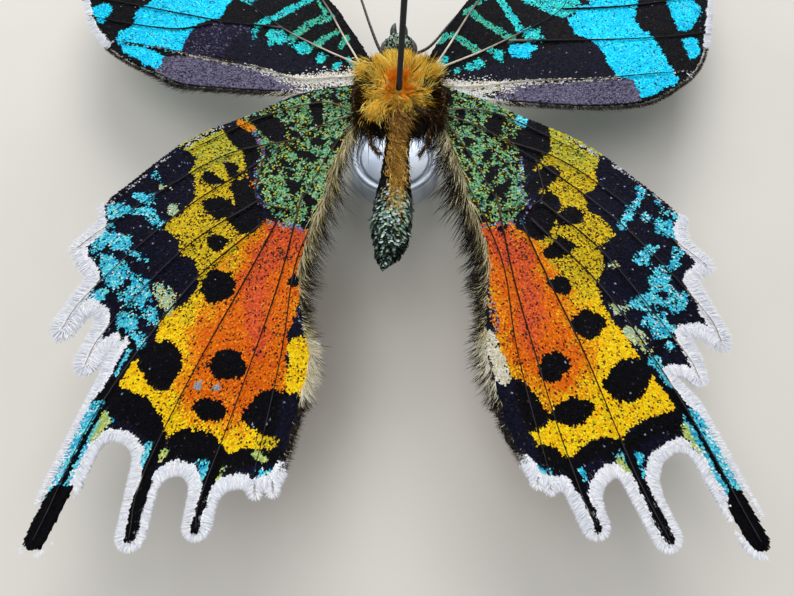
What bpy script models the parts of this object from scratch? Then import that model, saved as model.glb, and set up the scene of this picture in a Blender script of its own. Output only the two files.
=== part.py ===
"""Madagascan sunset moth: a pinned specimen, belly up, held by its own pin over a round base disc.

The origin is the centre of the disc's underside, +Z is up and the head points to +Y.
Lengths are in millimetres and become metres where a mesh is made.
"""

import math
import random

import bmesh
import bpy
from mathutils import Vector
from mathutils.geometry import delaunay_2d_cdt

MM = 0.001
SEED = 17
GAP = 0.3

# The stand: a plated disc and the specimen's own pin, its head down and its point up
DISC_RADIUS = 4.9
DISC_HEIGHT = 3.0
DISC_EDGE = 0.3
DISC_GROOVE = 3.9
PIN_RADIUS = 0.27
PIN_LENGTH = 38.0
PIN_HEAD_RADIUS = 0.75
PIN_POINT = 2.2
PIN_LEAN = math.radians(2.4)
PIN_SIDES = 14
BORE_REACH = (2.0, 17.0)

# The body's line and its levels above the floor
BODY_X = 0.45
FORE_LEVEL = 10.4
HIND_LEVEL = 11.5
WING_ORIGIN_Y = 1.9
DIHEDRAL = math.radians(-5.0)

THORAX_CENTRE = (0.0, 1.4, 11.0)
THORAX_SIZE = (3.0, 4.2, 2.75)
THORAX_BLUNT = 2.6
HEAD_CENTRE = (0.0, 7.05, 11.3)
HEAD_SIZE = (1.6, 1.3, 1.45)
NECK_RADIUS = 0.85
EYE_SIZE = (0.65, 0.88, 0.9)
EYE_PLACE = (1.25, 7.1, 11.35)
PALP_ROOT = (0.52, 8.1, 11.75)
PALP_TIP = (0.38, 10.0, 12.05)
PALP_RADIUS = 0.38

# Directions of the head's locks from its centre, belly side first
HEAD_LOCK_PLACES = (
    (-0.35, -0.35, 1.0),
    (0.05, -0.45, 1.0),
    (0.4, -0.3, 1.0),
    (-0.2, 0.2, 1.0),
    (0.2, 0.25, 1.0),
    (-0.1, -0.4, -1.0),
    (0.15, 0.25, -1.0),
)

# Stations of the abdomen: distance behind the origin, side shift, height, half width, half depth
ABDOMEN = (
    (-2.3, 0.00, 11.75, 0.80, 0.80),
    (-3.6, -0.05, 11.75, 1.00, 1.05),
    (-5.6, -0.25, 11.65, 0.95, 1.10),
    (-8.4, -0.40, 11.55, 1.15, 1.20),
    (-11.0, -0.50, 11.45, 1.60, 1.35),
    (-13.4, -0.70, 11.40, 1.75, 1.30),
    (-15.2, -0.75, 11.40, 1.40, 1.10),
    (-16.5, -1.00, 11.40, 0.95, 0.80),
)
ABDOMEN_TIP = (-1.45, -18.1, 11.45)
ABDOMEN_SIDES = 16

# Antennae: points of the route, thick at the root and fine at the tip
ANTENNA_RADIUS = 0.27
ANTENNA_LEFT = (
    (-0.6, 7.2, 10.15),
    (-1.4, 7.5, 9.9),
    (-2.2, 8.9, 10.1),
    (-3.2, 11.9, 10.5),
    (-4.2, 15.6, 10.6),
    (-6.0, 21.5, 10.8),
    (-8.6, 28.0, 11.2),
)
ANTENNA_RIGHT = (
    (0.6, 7.2, 10.1),
    (1.5, 8.2, 9.6),
    (3.4, 10.0, 9.1),
    (5.7, 13.6, 8.9),
    (7.9, 16.7, 8.9),
    (11.6, 21.0, 9.1),
    (16.6, 25.2, 9.4),
)

# Legs folded against the thorax: root, knee, ankle and claw, for the right side
LEG_RADIUS = 0.28
LEGS = {
    "fore": ((1.5, 3.7, 13.0), (3.2, 4.7, 12.2), (3.7, 2.6, 12.4), (3.6, 1.5, 12.5)),
    "mid": ((2.0, 0.5, 13.0), (4.1, 0.3, 12.8), (4.2, -1.7, 12.8), (3.6, -3.0, 12.8)),
    "hind": ((1.2, -1.6, 12.9), (3.0, -3.2, 12.75), (2.6, -5.6, 12.4), (1.8, -6.9, 12.3)),
}

# Locks of coat: length, width and depth of a middling one, and how far each kind varies
THORAX_LOCK = (1.9, 1.5, 0.5)
ABDOMEN_LOCK = (1.9, 1.3, 0.45)
HEAD_LOCK = (1.0, 0.7, 0.4)
HAIR_LOCK = (2.8, 1.2, 0.4)
LOCK_SPREAD = 0.18
# The shape of a lock: share of its length and share of its width at each section
LOCK_SECTIONS = ((0.0, 0.8), (0.35, 1.0), (0.7, 0.7))
# Heights over the root at those sections and at the tip: standing fur, flat scales, a wing's edge
BODY_RISE = (-0.4, 0.25, 0.5, 0.3)
FLAT_RISE = (-0.4, 0.12, 0.22, -0.05)
EDGE_RISE = (0.0, 0.0, 0.1, 0.25)
THORAX_LOCKS = 116
THORAX_BACK = -0.3
THORAX_ENDS = 0.8
THORAX_LEAN = (0.0, -0.45, 0.0)
HEAD_ROOM = 0.9
GOLDEN_TURN = math.radians(137.5)
PIN_CLEARANCE = 0.75
ABDOMEN_ROWS = (-7.9, -9.5, -11.1, -12.7, -14.3, -15.7)
HAIR_SPACING = 1.35
HAIR_INSET = 0.6
HAIR_FROM = -7.5

# Wings, in each wing's own plane: distance out from the body's line, distance forward of the wing origin
MEMBRANE = 0.5
RIDGE = 0.45
RIDGE_HALF_WIDTH = 0.42
VEIN_STEP = 2.4
SHEET_STEP = 3.0
FORE_ROOT = ((2.6, 3.2), (3.0, 0.2))
HIND_ROOT = ((3.1, 0.4), (2.6, -4.0))
FORE_COSTA = (
    (3.0, 4.9),
    (3.9, 7.0),
    (5.4, 9.9),
    (7.6, 13.6),
    (11.2, 18.3),
    (16.0, 22.8),
    (22.0, 26.6),
    (29.0, 29.6),
    (35.0, 31.2),
)
FORE_APEX = (38.6, 31.2)
# The forewing's veins: their stem, the cell's two ends, the foremost vein's end and shares of the margin
FORE_STEM = (3.5, 2.6)
FORE_CELL_FRONT = (13.5, 19.5)
FORE_CELL_REAR = (17.0, 13.2)
FORE_SUBAPEX = (31.5, 28.8)
FORE_VEIN_ENDS = (0.03, 0.11, 0.19, 0.27, 0.36, 0.46)
FORE_MARGIN = ((38.7, 26.5), (37.8, 21.6), (36.4, 17.0))
FORE_TORNUS = {
    "left": (
        (35.1, 13.2),
        (33.1, 10.0),
        (31.2, 7.9),
        (28.6, 5.8),
        (26.0, 4.2),
        (22.9, 2.5),
        (18.9, 1.7),
        (13.4, 0.8),
        (8.0, 0.0),
    ),
    "right": (
        (34.9, 11.4),
        (33.4, 7.4),
        (31.5, 4.6),
        (29.6, 2.9),
        (27.4, 1.3),
        (24.9, 0.2),
        (20.2, -0.6),
        (14.4, -0.9),
        (8.0, -0.6),
    ),
}
HIND_COSTA = {
    "left": (
        (5.0, 0.2),
        (9.4, -0.5),
        (14.4, -2.9),
        (18.0, -4.4),
        (21.1, -6.2),
        (25.0, -9.8),
        (28.0, -12.6),
    ),
    "right": (
        (4.6, 0.0),
        (8.0, -1.3),
        (11.0, -2.8),
        (14.6, -4.5),
        (18.1, -6.4),
        (22.9, -10.5),
        (26.3, -13.9),
    ),
}
# A tail whose notch lies inside its own width starts there with a slanting edge, so many times its width
SLANT = 3.2
# Teeth and tails: root, tip, half width, and the notch that follows
HIND_TAILS = {
    "left": (
        ((26.6, -14.8), (29.3, -17.3), 0.5, (27.1, -19.7)),
        ((27.0, -21.8), (28.8, -25.3), 0.7, (26.0, -23.1)),
        ((24.7, -25.0), (26.0, -28.6), 0.75, (23.3, -26.2)),
        ((23.9, -32.1), (27.1, -42.3), 1.3, (21.8, -34.1)),
        ((19.2, -36.5), (19.5, -42.0), 1.0, (16.6, -36.6)),
        ((14.4, -37.7), (14.7, -41.3), 0.92, (11.9, -37.6)),
        ((10.8, -37.0), (10.5, -38.5), 0.4, (9.9, -37.7)),
        ((9.2, -36.9), (9.3, -38.4), 0.35, (8.8, -37.5)),
    ),
    "right": (
        ((24.7, -16.6), (27.4, -19.2), 0.5, (25.7, -20.1)),
        ((25.9, -23.1), (27.1, -26.4), 0.55, (24.2, -25.2)),
        ((23.4, -26.8), (24.4, -29.8), 0.75, (22.0, -28.9)),
        ((23.3, -33.5), (26.7, -42.4), 1.3, (21.0, -34.9)),
        ((17.8, -37.1), (19.6, -42.0), 1.0, (15.9, -36.8)),
        ((13.2, -37.9), (14.4, -41.2), 0.92, (11.7, -37.8)),
        ((11.1, -37.0), (11.0, -38.2), 0.4, (10.6, -37.5)),
        ((10.0, -36.5), (10.2, -37.8), 0.35, (9.6, -37.0)),
    ),
}
HIND_INNER = {
    "left": (
        (8.5, -36.7),
        (7.6, -33.0),
        (6.9, -29.6),
        (6.7, -27.6),
        (7.6, -24.3),
        (8.0, -19.9),
        (7.4, -16.6),
        (6.3, -13.2),
        (5.3, -8.8),
        (4.1, -5.4),
    ),
    "right": (
        (9.2, -36.2),
        (7.8, -33.7),
        (7.1, -30.6),
        (6.5, -27.7),
        (6.7, -23.5),
        (7.2, -19.1),
        (6.9, -16.8),
        (5.9, -13.7),
        (4.8, -9.2),
        (3.9, -5.6),
    ),
}
# The hindwing's cell, and what each vein passes between the cell and the root of its tail, on the left
HIND_STEM = (3.9, -3.4)
CELL_FRONT = ((7.8, -4.9), (12.8, -8.4))
CELL_REAR = ((6.5, -8.0), (9.2, -14.3))
CELL_MIDDLE = (12.9, -12.8)
ANAL_VEIN = ((6.0, -11.0), (8.8, -19.0), (9.4, -27.0))
# The shoulder vein: points of the costa by number, and how far in from each it runs
SHOULDER_VEIN = ((1, (-1.9, -1.5)), (2, (-0.9, -0.7)), (4, (-0.9, -0.9)))
TAIL_VEINS = (
    ((9.8, -6.2), (17.1, -8.0)),
    ((12.8, -8.4), (20.1, -14.0)),
    ((12.7, -13.0), (18.8, -17.6)),
    ((11.8, -15.1), (18.2, -21.6)),
    ((10.7, -15.0), (15.2, -25.8)),
    ((8.7, -12.5), (10.9, -24.5)),
)

def clear_scene():
    for obj in list(bpy.data.objects):
        bpy.data.objects.remove(obj, do_unlink=True)


def new_collection(name):
    collection = bpy.data.collections.new(name)
    bpy.context.scene.collection.children.link(collection)
    return collection


def material(name, colour, roughness, metallic=0.0):
    made = bpy.data.materials.new(name)
    made.use_nodes = True
    shader = made.node_tree.nodes["Principled BSDF"]
    shader.inputs["Base Color"].default_value = (*colour, 1.0)
    shader.inputs["Roughness"].default_value = roughness
    shader.inputs["Metallic"].default_value = metallic
    made.diffuse_color = (*colour, 1.0)
    return made


def on_body(point):
    """A point given about the body's line, moved to the line's place."""
    return Vector((point[0] + BODY_X, point[1], point[2]))


def add_mesh(name, bm, collection):
    """The mesh in millimetres becomes an object in metres."""
    bmesh.ops.scale(bm, vec=(MM, MM, MM), verts=bm.verts)
    mesh = bpy.data.meshes.new(name)
    bm.to_mesh(mesh)
    bm.free()
    obj = bpy.data.objects.new(name, mesh)
    collection.objects.link(obj)
    return obj


def apply_modifiers(obj):
    bpy.context.view_layer.update()
    graph = bpy.context.evaluated_depsgraph_get()
    mesh = bpy.data.meshes.new_from_object(obj.evaluated_get(graph))
    obj.modifiers.clear()
    obj.data = mesh


def loft(rings, tip=None):
    """A closed form through rings of points, capped at its root and drawn to a tip or capped there."""
    bm = bmesh.new()
    loops = [[bm.verts.new(point) for point in ring] for ring in rings]
    count = len(loops[0])
    for near, far in zip(loops, loops[1:]):
        for i in range(count):
            j = (i + 1) % count
            bm.faces.new((near[i], near[j], far[j], far[i]))
    bm.faces.new(loops[0][::-1])
    if tip is None:
        bm.faces.new(loops[-1])
    else:
        end = bm.verts.new(tip)
        for i in range(count):
            bm.faces.new((loops[-1][i], loops[-1][(i + 1) % count], end))
    bmesh.ops.recalc_face_normals(bm, faces=bm.faces)
    bmesh.ops.triangulate(bm, faces=bm.faces)
    return bm


def ring(centre, across, up, half_width, half_depth, count):
    turns = [2 * math.pi * i / count for i in range(count)]
    return [
        Vector(centre) + across * (half_width * math.cos(a)) + up * (half_depth * math.sin(a))
        for a in turns
    ]


def smooth_line(points, step):
    """A Catmull-Rom line through the points, with a point about every step."""
    points = [Vector(p) for p in points]
    line = [points[0]]
    ends = [2 * points[0] - points[1]] + points + [2 * points[-1] - points[-2]]
    for a, b, c, d in zip(ends, ends[1:], ends[2:], ends[3:]):
        count = max(1, round((c - b).length / step))
        for i in range(1, count + 1):
            t = i / count
            bend = (2 * a - 5 * b + 4 * c - d) * t**2 + (3 * b - a - 3 * c + d) * t**3
            line.append(0.5 * (2 * b + (c - a) * t + bend))
    return line


def tube(name, points, radii, sides, collection):
    """A round limb through the points, its radius given at each one."""
    rings = []
    for i, point in enumerate(points):
        ahead = points[min(i + 1, len(points) - 1)]
        behind = points[max(i - 1, 0)]
        along = (ahead - behind).normalized()
        across = along.cross(Vector((0, 0, 1))).normalized()
        rings.append(ring(point, across, across.cross(along), radii[i], radii[i], sides))
    return add_mesh(name, loft(rings), collection)


def boolean(obj, pieces, operation):
    """One Boolean with all the pieces, applied; the pieces go and the largest closed surface stays."""
    group = new_collection("pieces of " + obj.name)
    for piece in pieces:
        for old in piece.users_collection:
            old.objects.unlink(piece)
        group.objects.link(piece)
        piece.hide_render = True
        piece.display_type = "WIRE"
    modifier = obj.modifiers.new(operation.lower(), "BOOLEAN")
    modifier.operation = operation
    modifier.operand_type = "COLLECTION"
    modifier.collection = group
    modifier.solver = "EXACT"
    apply_modifiers(obj)
    for piece in pieces:
        bpy.data.objects.remove(piece, do_unlink=True)
    bpy.data.collections.remove(group)
    keep_largest(obj)


def volume_of(faces):
    return sum(f.verts[0].co.dot(f.verts[1].co.cross(f.verts[2].co)) for f in faces) / 6


def keep_largest(obj):
    bm = bmesh.new()
    bm.from_mesh(obj.data)
    bmesh.ops.triangulate(bm, faces=bm.faces)
    unseen = set(bm.faces)
    islands = []
    while unseen:
        island = []
        front = [unseen.pop()]
        while front:
            face = front.pop()
            island.append(face)
            plain = [edge for edge in face.edges if len(edge.link_faces) == 2]
            near = {f for edge in plain for f in edge.link_faces} & unseen
            unseen -= near
            front.extend(near)
        islands.append(island)
    largest = max(islands, key=volume_of)
    dropped = [face for island in islands if island is not largest for face in island]
    bmesh.ops.delete(bm, geom=dropped, context="FACES")
    bm.to_mesh(obj.data)
    bm.free()


def turned(name, profile, steps, collection):
    """A profile of (radius, height) points, run down its outer side and turned round Z."""
    mesh = bpy.data.meshes.new(name)
    points = [(radius * MM, 0, height * MM) for radius, height in profile]
    mesh.from_pydata(points, [(i, i + 1) for i in range(len(points) - 1)], [])
    obj = bpy.data.objects.new(name, mesh)
    collection.objects.link(obj)
    screw = obj.modifiers.new("turn", "SCREW")
    screw.steps = steps
    screw.render_steps = steps
    screw.use_merge_vertices = True
    screw.merge_threshold = 0.00001
    return obj


def stand_disc(collection):
    top = DISC_HEIGHT
    low = DISC_EDGE * 0.29
    profile = [
        (0, top),
        (DISC_GROOVE - 0.12, top),
        (DISC_GROOVE, top - 0.15),
        (DISC_GROOVE + 0.12, top),
        (DISC_RADIUS - DISC_EDGE, top),
        (DISC_RADIUS - low, top - low),
        (DISC_RADIUS, top - DISC_EDGE),
        (DISC_RADIUS, DISC_EDGE),
        (DISC_RADIUS - low, low),
        (DISC_RADIUS - DISC_EDGE, 0),
        (0, 0),
    ]
    return turned("stand_disc", profile, 40, collection)


def stand_pin(collection):
    profile = [(0, PIN_LENGTH), (PIN_RADIUS, PIN_LENGTH - PIN_POINT)]
    for turn in (0.35, 0.7, 1.2, 1.57, 2.0, 2.5, 2.9):
        profile.append((PIN_HEAD_RADIUS * math.sin(turn), PIN_HEAD_RADIUS * (1 + math.cos(turn))))
    profile[2] = (PIN_RADIUS, profile[2][1])
    profile.append((0, 0))
    pin = turned("stand_pin", profile, PIN_SIDES, collection)
    pin.location = (0, 0, (DISC_HEIGHT + GAP) * MM)
    pin.rotation_euler = (0, PIN_LEAN, 0)
    return pin


def tail_outline(before, root, tip, half_width, after):
    """The edge of one tooth or tail, from the notch before it round its tip and on to the next."""
    tip = Vector(tip)
    along = (tip - Vector(root)).normalized()
    aside = Vector((-along.y, along.x))
    edge = []
    for notch, side in ((Vector(before), 1), (Vector(after), -1)):
        away = notch - tip
        depth = -away.dot(along)
        arch = side * away.dot(aside) - half_width
        drop = arch if arch > 0 else -SLANT * arch
        drop = min(drop, max(depth - 1.2 * half_width, 0.1 * depth))
        curve = []
        for turn in (90, 60, 30, 0):
            a = math.radians(turn)
            down, across = (1 - math.sin(a), 1 - math.cos(a)) if arch > 0 else (1 - turn / 90, turn / 90)
            point = tip - along * (depth - drop * down)
            curve.append(point + aside * (side * (half_width + arch * across)))
        for turn in (15, 45, 75):
            a = math.radians(turn)
            back = half_width * (1 - math.sin(a))
            curve.append(tip - along * back + aside * (side * half_width * math.cos(a)))
        edge.append(curve[::side])
    return edge[0] + edge[1][:-1]


def resample(line, step):
    """Points about every step along an open line, its ends kept."""
    lengths = [0.0]
    for a, b in zip(line, line[1:]):
        lengths.append(lengths[-1] + (b - a).length)
    count = max(1, round(lengths[-1] / step))
    points = []
    at = 0
    for i in range(count + 1):
        want = lengths[-1] * i / count
        while at < len(line) - 2 and lengths[at + 1] < want:
            at += 1
        span = lengths[at + 1] - lengths[at]
        points.append(line[at].lerp(line[at + 1], (want - lengths[at]) / span if span else 0))
    return points


def jagged(line, depth):
    """A fringe: every other point of the line stands out by the depth."""
    out = []
    for i, point in enumerate(line):
        along = (line[min(i + 1, len(line) - 1)] - line[max(i - 1, 0)]).normalized()
        outward = Vector((-along.y, along.x))
        out.append(point + outward * (depth if i % 2 else -depth))
    return out


def hind_outline(side):
    costa = resample(smooth_line((HIND_ROOT[0],) + HIND_COSTA[side], 1.0), 2.2)
    margin = []
    before = HIND_COSTA[side][-1]
    for root, tip, half_width, notch in HIND_TAILS[side]:
        margin += tail_outline(before, root, tip, half_width, notch)
        before = notch
    inner = inner_line(side)
    fringe = jagged(resample([costa[-1]] + margin + [inner[0]], 0.88), 0.08)
    return costa[:-1] + fringe + resample(inner, 1.9)[1:]


def inner_line(side):
    return smooth_line(HIND_INNER[side] + (HIND_ROOT[1],), 1.0)


def fore_outline(side):
    costa = resample(smooth_line((FORE_ROOT[0],) + FORE_COSTA + (FORE_APEX,), 1.0), 2.4)
    margin = smooth_line((FORE_APEX,) + FORE_MARGIN + FORE_TORNUS[side] + (FORE_ROOT[1],), 1.0)
    fringe = jagged(resample(margin, 1.25), 0.08)
    return costa[:-1] + fringe[:-1] + [Vector(FORE_ROOT[1])]


def branch(start, end, bow, step=2.6):
    """A vein from start to end, bowed to one side by a share of its length."""
    start, end = Vector(start), Vector(end)
    aside = Vector((start.y - end.y, end.x - start.x)) * bow
    count = max(2, round((end - start).length / step))
    return [start.lerp(end, i / count) + aside * math.sin(math.pi * i / count) for i in range(count + 1)]


def hind_veins(side):
    """The veins that frame the cell, and one to the tip of each tail, shifted with the tails of the side."""
    stem = Vector(HIND_STEM)
    costa = [Vector(p) for p in HIND_COSTA[side]]
    shoulder = [stem] + [costa[i] + Vector(shift) for i, shift in SHOULDER_VEIN]
    anal = [stem, *ANAL_VEIN, HIND_TAILS[side][6][0]]
    routes = [
        [stem, *CELL_FRONT],
        [stem, *CELL_REAR],
        [CELL_FRONT[1], CELL_MIDDLE, CELL_REAR[1]],
        shoulder,
        anal,
    ]
    for row, like, (start, middle) in zip(HIND_TAILS[side], HIND_TAILS["left"], TAIL_VEINS):
        root, tip, half_width, _ = row
        shift = (Vector(root) - Vector(like[0])) / 2
        end = Vector(tip).lerp(Vector(root), 0.8 * half_width / (Vector(tip) - Vector(root)).length)
        routes.append([start, Vector(middle) + shift, Vector(root), end])
    return [resample(smooth_line([Vector(p) for p in route], 1.0), VEIN_STEP) for route in routes]


def fore_veins(side):
    """The forewing's cell, the veins that spread from it to the outer edge, and the fold behind it."""
    root, cell_front, cell_rear = (Vector(p) for p in (FORE_STEM, FORE_CELL_FRONT, FORE_CELL_REAR))
    margin = smooth_line((FORE_APEX,) + FORE_MARGIN + FORE_TORNUS[side], 0.5)
    ends = [margin[int(share * (len(margin) - 1))] for share in FORE_VEIN_ENDS]
    ends = [end.lerp(cell_rear, 0.05) for end in ends]
    fold = Vector(FORE_TORNUS[side][2]) + Vector((-1.4, 0.8))
    veins = [branch(root, cell_front, 0.05), branch(root, cell_rear, 0.0)]
    veins += [branch(cell_front, cell_rear, -0.06), branch(cell_front, FORE_SUBAPEX, 0.03)]
    veins += [branch(cell_front, ends[0], 0.03)]
    veins += [branch(cell_front, ends[1], 0.0), branch(cell_front.lerp(cell_rear, 0.5), ends[2], 0.0)]
    veins += [branch(cell_rear, ends[3], 0.0), branch(cell_rear, ends[4], 0.0)]
    veins += [branch(cell_rear.lerp(root, 0.25), ends[5], 0.0), branch(root, fold, 0.04)]
    return veins


def distance_to(point, line):
    best = 1e9
    for a, b in zip(line, line[1:]):
        along = b - a
        t = max(0.0, min(1.0, (point - a).dot(along) / along.length_squared))
        best = min(best, (point - a - along * t).length)
    return best


def inside(point, outline):
    found = False
    for a, b in zip(outline, outline[1:] + outline[:1]):
        if (a.y > point.y) != (b.y > point.y):
            found ^= point.x < a.x + (point.y - a.y) * (b.x - a.x) / (b.y - a.y)
    return found


def sheet_points(outline, veins):
    """Free points beside the veins and over the membrane, clear of the lines and of each other."""
    flanks = []
    for line in veins:
        for a, b, c in zip(line, line[1:], line[2:]):
            aside = (c - a).normalized().orthogonal() * RIDGE_HALF_WIDTH
            flanks += [b + aside, b - aside]
    left, right = min(p.x for p in outline), max(p.x for p in outline)
    rear, front = min(p.y for p in outline), max(p.y for p in outline)
    grid = []
    for row in range(int((front - rear) / SHEET_STEP) + 1):
        shift = SHEET_STEP / 2 * (row % 2)
        for column in range(int((right - left) / SHEET_STEP) + 1):
            grid.append(Vector((left + column * SHEET_STEP + shift, rear + row * SHEET_STEP)))
    kept = []
    closed = outline + outline[:1]
    for points, clear in ((flanks, 0.8 * RIDGE_HALF_WIDTH), (grid, 2 * RIDGE_HALF_WIDTH)):
        for point in points:
            if not inside(point, outline) or distance_to(point, closed) < 0.5:
                continue
            if min(distance_to(point, line) for line in veins) < clear:
                continue
            if all((point - other).length > 0.6 for other in kept):
                kept.append(point)
    return kept


def camber(out, forward):
    """The height of the sheet over its plane: a soft arch out from the root and shallow waves."""
    return 0.35 * math.sin(math.pi * min(out, 40) / 40) + 0.12 * math.sin(0.5 * forward + 0.2 * out)


def place(out, forward, side, level):
    """A point of a wing's plane on the standing specimen."""
    sign = -1 if side == "left" else 1
    beyond = out - 3.0
    x = sign * (3.0 + beyond * math.cos(DIHEDRAL))
    z = level + beyond * math.sin(DIHEDRAL) + camber(out, forward)
    return on_body((x, WING_ORIGIN_Y + forward, z))


def wing(name, side, level, outline, veins, collection):
    """One membrane: triangles between its outline and veins, thickened, with a ridge along each vein."""
    points = [Vector(p) for p in outline]
    edges = []
    for line in veins:
        first = len(points)
        points += [p for p in line]
        edges += [(first + i, first + i + 1) for i in range(len(line) - 1)]
    points += sheet_points(outline, veins)
    loop = list(range(len(outline)))
    found, _, faces, _, _, _ = delaunay_2d_cdt(points, edges, [loop], 1, 1e-3)
    bm = bmesh.new()
    verts = [bm.verts.new(place(p.x, p.y, side, level)) for p in found]
    for face in faces:
        bm.faces.new([verts[i] for i in face])
    bmesh.ops.recalc_face_normals(bm, faces=bm.faces)
    if sum(f.normal.z for f in bm.faces) < 0:
        bmesh.ops.reverse_faces(bm, faces=bm.faces)
    obj = add_mesh(name, bm, collection)
    group = obj.vertex_groups.new(name="vein")
    for i, p in enumerate(found):
        near = min(distance_to(p, line) for line in veins)
        group.add([i], max(0.0, 1 - near / RIDGE_HALF_WIDTH), "REPLACE")
    solid = obj.modifiers.new("membrane", "SOLIDIFY")
    solid.thickness = (MEMBRANE + RIDGE) * MM
    solid.offset = 0
    solid.vertex_group = "vein"
    solid.thickness_vertex_group = MEMBRANE / (MEMBRANE + RIDGE)
    apply_modifiers(obj)
    return obj


def wing_hair(side, collection):
    """The locks of long hair along a hindwing's inner edge, which point to the body and back."""
    edge = resample(inner_line(side), HAIR_SPACING)
    made = []
    for a, b in zip(edge, edge[1:]):
        if b.y > HAIR_FROM:
            break
        along = (b - a).normalized()
        inward = Vector((along.y, -along.x))
        start = a - inward * HAIR_INSET
        aim = start - along * random.uniform(0.5, 0.8) + inward * random.uniform(0.6, 0.9)
        root = place(start.x, start.y, side, HIND_LEVEL)
        lie = place(aim.x, aim.y, side, HIND_LEVEL) - root
        made.append(lock(root, lie, Vector((0, 0, 1)), HAIR_LOCK, EDGE_RISE, collection))
    return made


def wing_socket(root, level, side, collection):
    """A block as wide as the wing's root and its gap, to cut its place into the thorax."""
    reach = 8.0
    front = Vector(root[0]) + Vector((-GAP, 2 * GAP))
    rear = Vector(root[1]) + Vector((-GAP, -2 * GAP))
    corners = [front, rear, rear + Vector((reach, -1.5)), front + Vector((reach, 5.0))]
    half = (MEMBRANE + RIDGE) / 2 + GAP
    places = [place(p.x, p.y, side, level) for p in corners]
    rings = [[p + Vector((0, 0, height)) for p in places] for height in (-half, half)]
    return add_mesh("socket", loft(rings), collection)


def lock(root, lie, up, size, rise, collection):
    """One flat lock of coat: sunk at its root, it rises, bends to one side and ends in a fine tip."""
    length, width, depth = (part * random.uniform(1 - LOCK_SPREAD, 1 + LOCK_SPREAD) for part in size)
    lie = lie.normalized()
    across = up.cross(lie).normalized()
    up = lie.cross(across)
    sway = across * (random.uniform(-0.22, 0.22) * length)
    rings = []
    for (share, wide), height in zip(LOCK_SECTIONS, rise):
        centre = root + lie * (length * share) + up * height + sway * share**2
        rings.append(ring(centre, across, up, width / 2 * wide, depth / 2 * wide, 4))
    return add_mesh("lock", loft(rings, root + lie * length + up * rise[-1] + sway), collection)


def blunt(direction):
    """The point of the thorax's rounded box that lies in a direction from its centre."""
    size = sum(abs(part) ** THORAX_BLUNT for part in direction) ** (1 / THORAX_BLUNT)
    return Vector([part / size * half for part, half in zip(direction, THORAX_SIZE)])


def blunt_normal(point):
    """The direction that the rounded box faces at one of its points."""
    steep = [abs(p / half) ** (THORAX_BLUNT - 1) / half for p, half in zip(point, THORAX_SIZE)]
    return Vector([math.copysign(part, p) for part, p in zip(steep, point)]).normalized()


def thorax(collection):
    bm = bmesh.new()
    bmesh.ops.create_uvsphere(bm, u_segments=24, v_segments=14, radius=1.0)
    for vert in bm.verts:
        vert.co = blunt(vert.co)
    bmesh.ops.translate(bm, verts=bm.verts, vec=on_body(THORAX_CENTRE))
    return add_mesh("thorax", bm, collection)


def thorax_locks(collection):
    """Locks spread over the thorax, half as many on its back, that radiate from the pin and lean back."""
    made = []
    for i in range(THORAX_LOCKS):
        height = 1 - 2 * (i + 0.5) / THORAX_LOCKS
        turn = i * GOLDEN_TURN
        wide = math.sqrt(1 - height * height)
        spot = blunt((wide * math.cos(turn), wide * math.sin(turn), height))
        normal = blunt_normal(spot)
        root = on_body(THORAX_CENTRE) + spot
        from_pin = Vector((spot.x, spot.y + THORAX_CENTRE[1], 0))
        lie = from_pin.normalized() + Vector(THORAX_LEAN)
        lie -= normal * lie.dot(normal)
        tip = root + lie.normalized() * THORAX_LOCK[0]
        thinned = height < THORAX_BACK and i % 2
        bare = from_pin.length < PIN_CLEARANCE or abs(normal.y) > THORAX_ENDS
        if thinned or bare or near_head(tip):
            continue
        made.append(lock(root, lie, normal, THORAX_LOCK, BODY_RISE, collection))
    return made


def near_head(point):
    """Whether a point is so close to the head that its own coat needs the room."""
    away = point - on_body(HEAD_CENTRE)
    return sum((part / (half + HEAD_ROOM)) ** 2 for part, half in zip(away, HEAD_SIZE)) < 1


def limb(name, points, radii, extra, step, collection):
    """A jointed limb; extra makes it fatter, and longer at its root, for a cutter."""
    line = smooth_line([on_body(p) for p in points], step)
    if extra:
        line[0] = line[0] - (line[1] - line[0]).normalized() * extra
    size = [radii[0] + (radii[1] - radii[0]) * i / (len(line) - 1) + extra for i in range(len(line))]
    return tube(name, line, size, 8, collection)


def mirrored(points):
    return tuple((-x, y, z) for x, y, z in points)


def legs(collection, extra=0.0):
    made = []
    for pair, points in LEGS.items():
        for side, route in (("right", points), ("left", mirrored(points))):
            name = f"leg_{pair}_{side}"
            made.append(limb(name, route, (LEG_RADIUS, 0.25), extra, 1.2, collection))
    return made


def abdomen(collection, extra=0.0, stations=ABDOMEN):
    """The abdomen, or for a cutter its first stations, made fatter and longer at the front by extra."""
    across, up = Vector((1, 0, 0)), Vector((0, 0, 1))
    rings = []
    for y, shift, height, half_width, half_depth in stations:
        centre = on_body((shift, y, height))
        rings.append(ring(centre, across, up, half_width + extra, half_depth + extra, ABDOMEN_SIDES))
    tip = None if extra else on_body(ABDOMEN_TIP)
    rings[0] = [p + Vector((0, extra, 0)) for p in rings[0]]
    return add_mesh("abdomen", loft(rings, tip), collection)


def abdomen_at(y):
    """The shift, height, half width and half depth of the abdomen at a distance along it."""
    for near, far in zip(ABDOMEN, ABDOMEN[1:]):
        if far[0] <= y <= near[0]:
            share = (near[0] - y) / (near[0] - far[0])
            return [a + (b - a) * share for a, b in zip(near[1:], far[1:])]
    return ABDOMEN[-1][1:]


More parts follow.
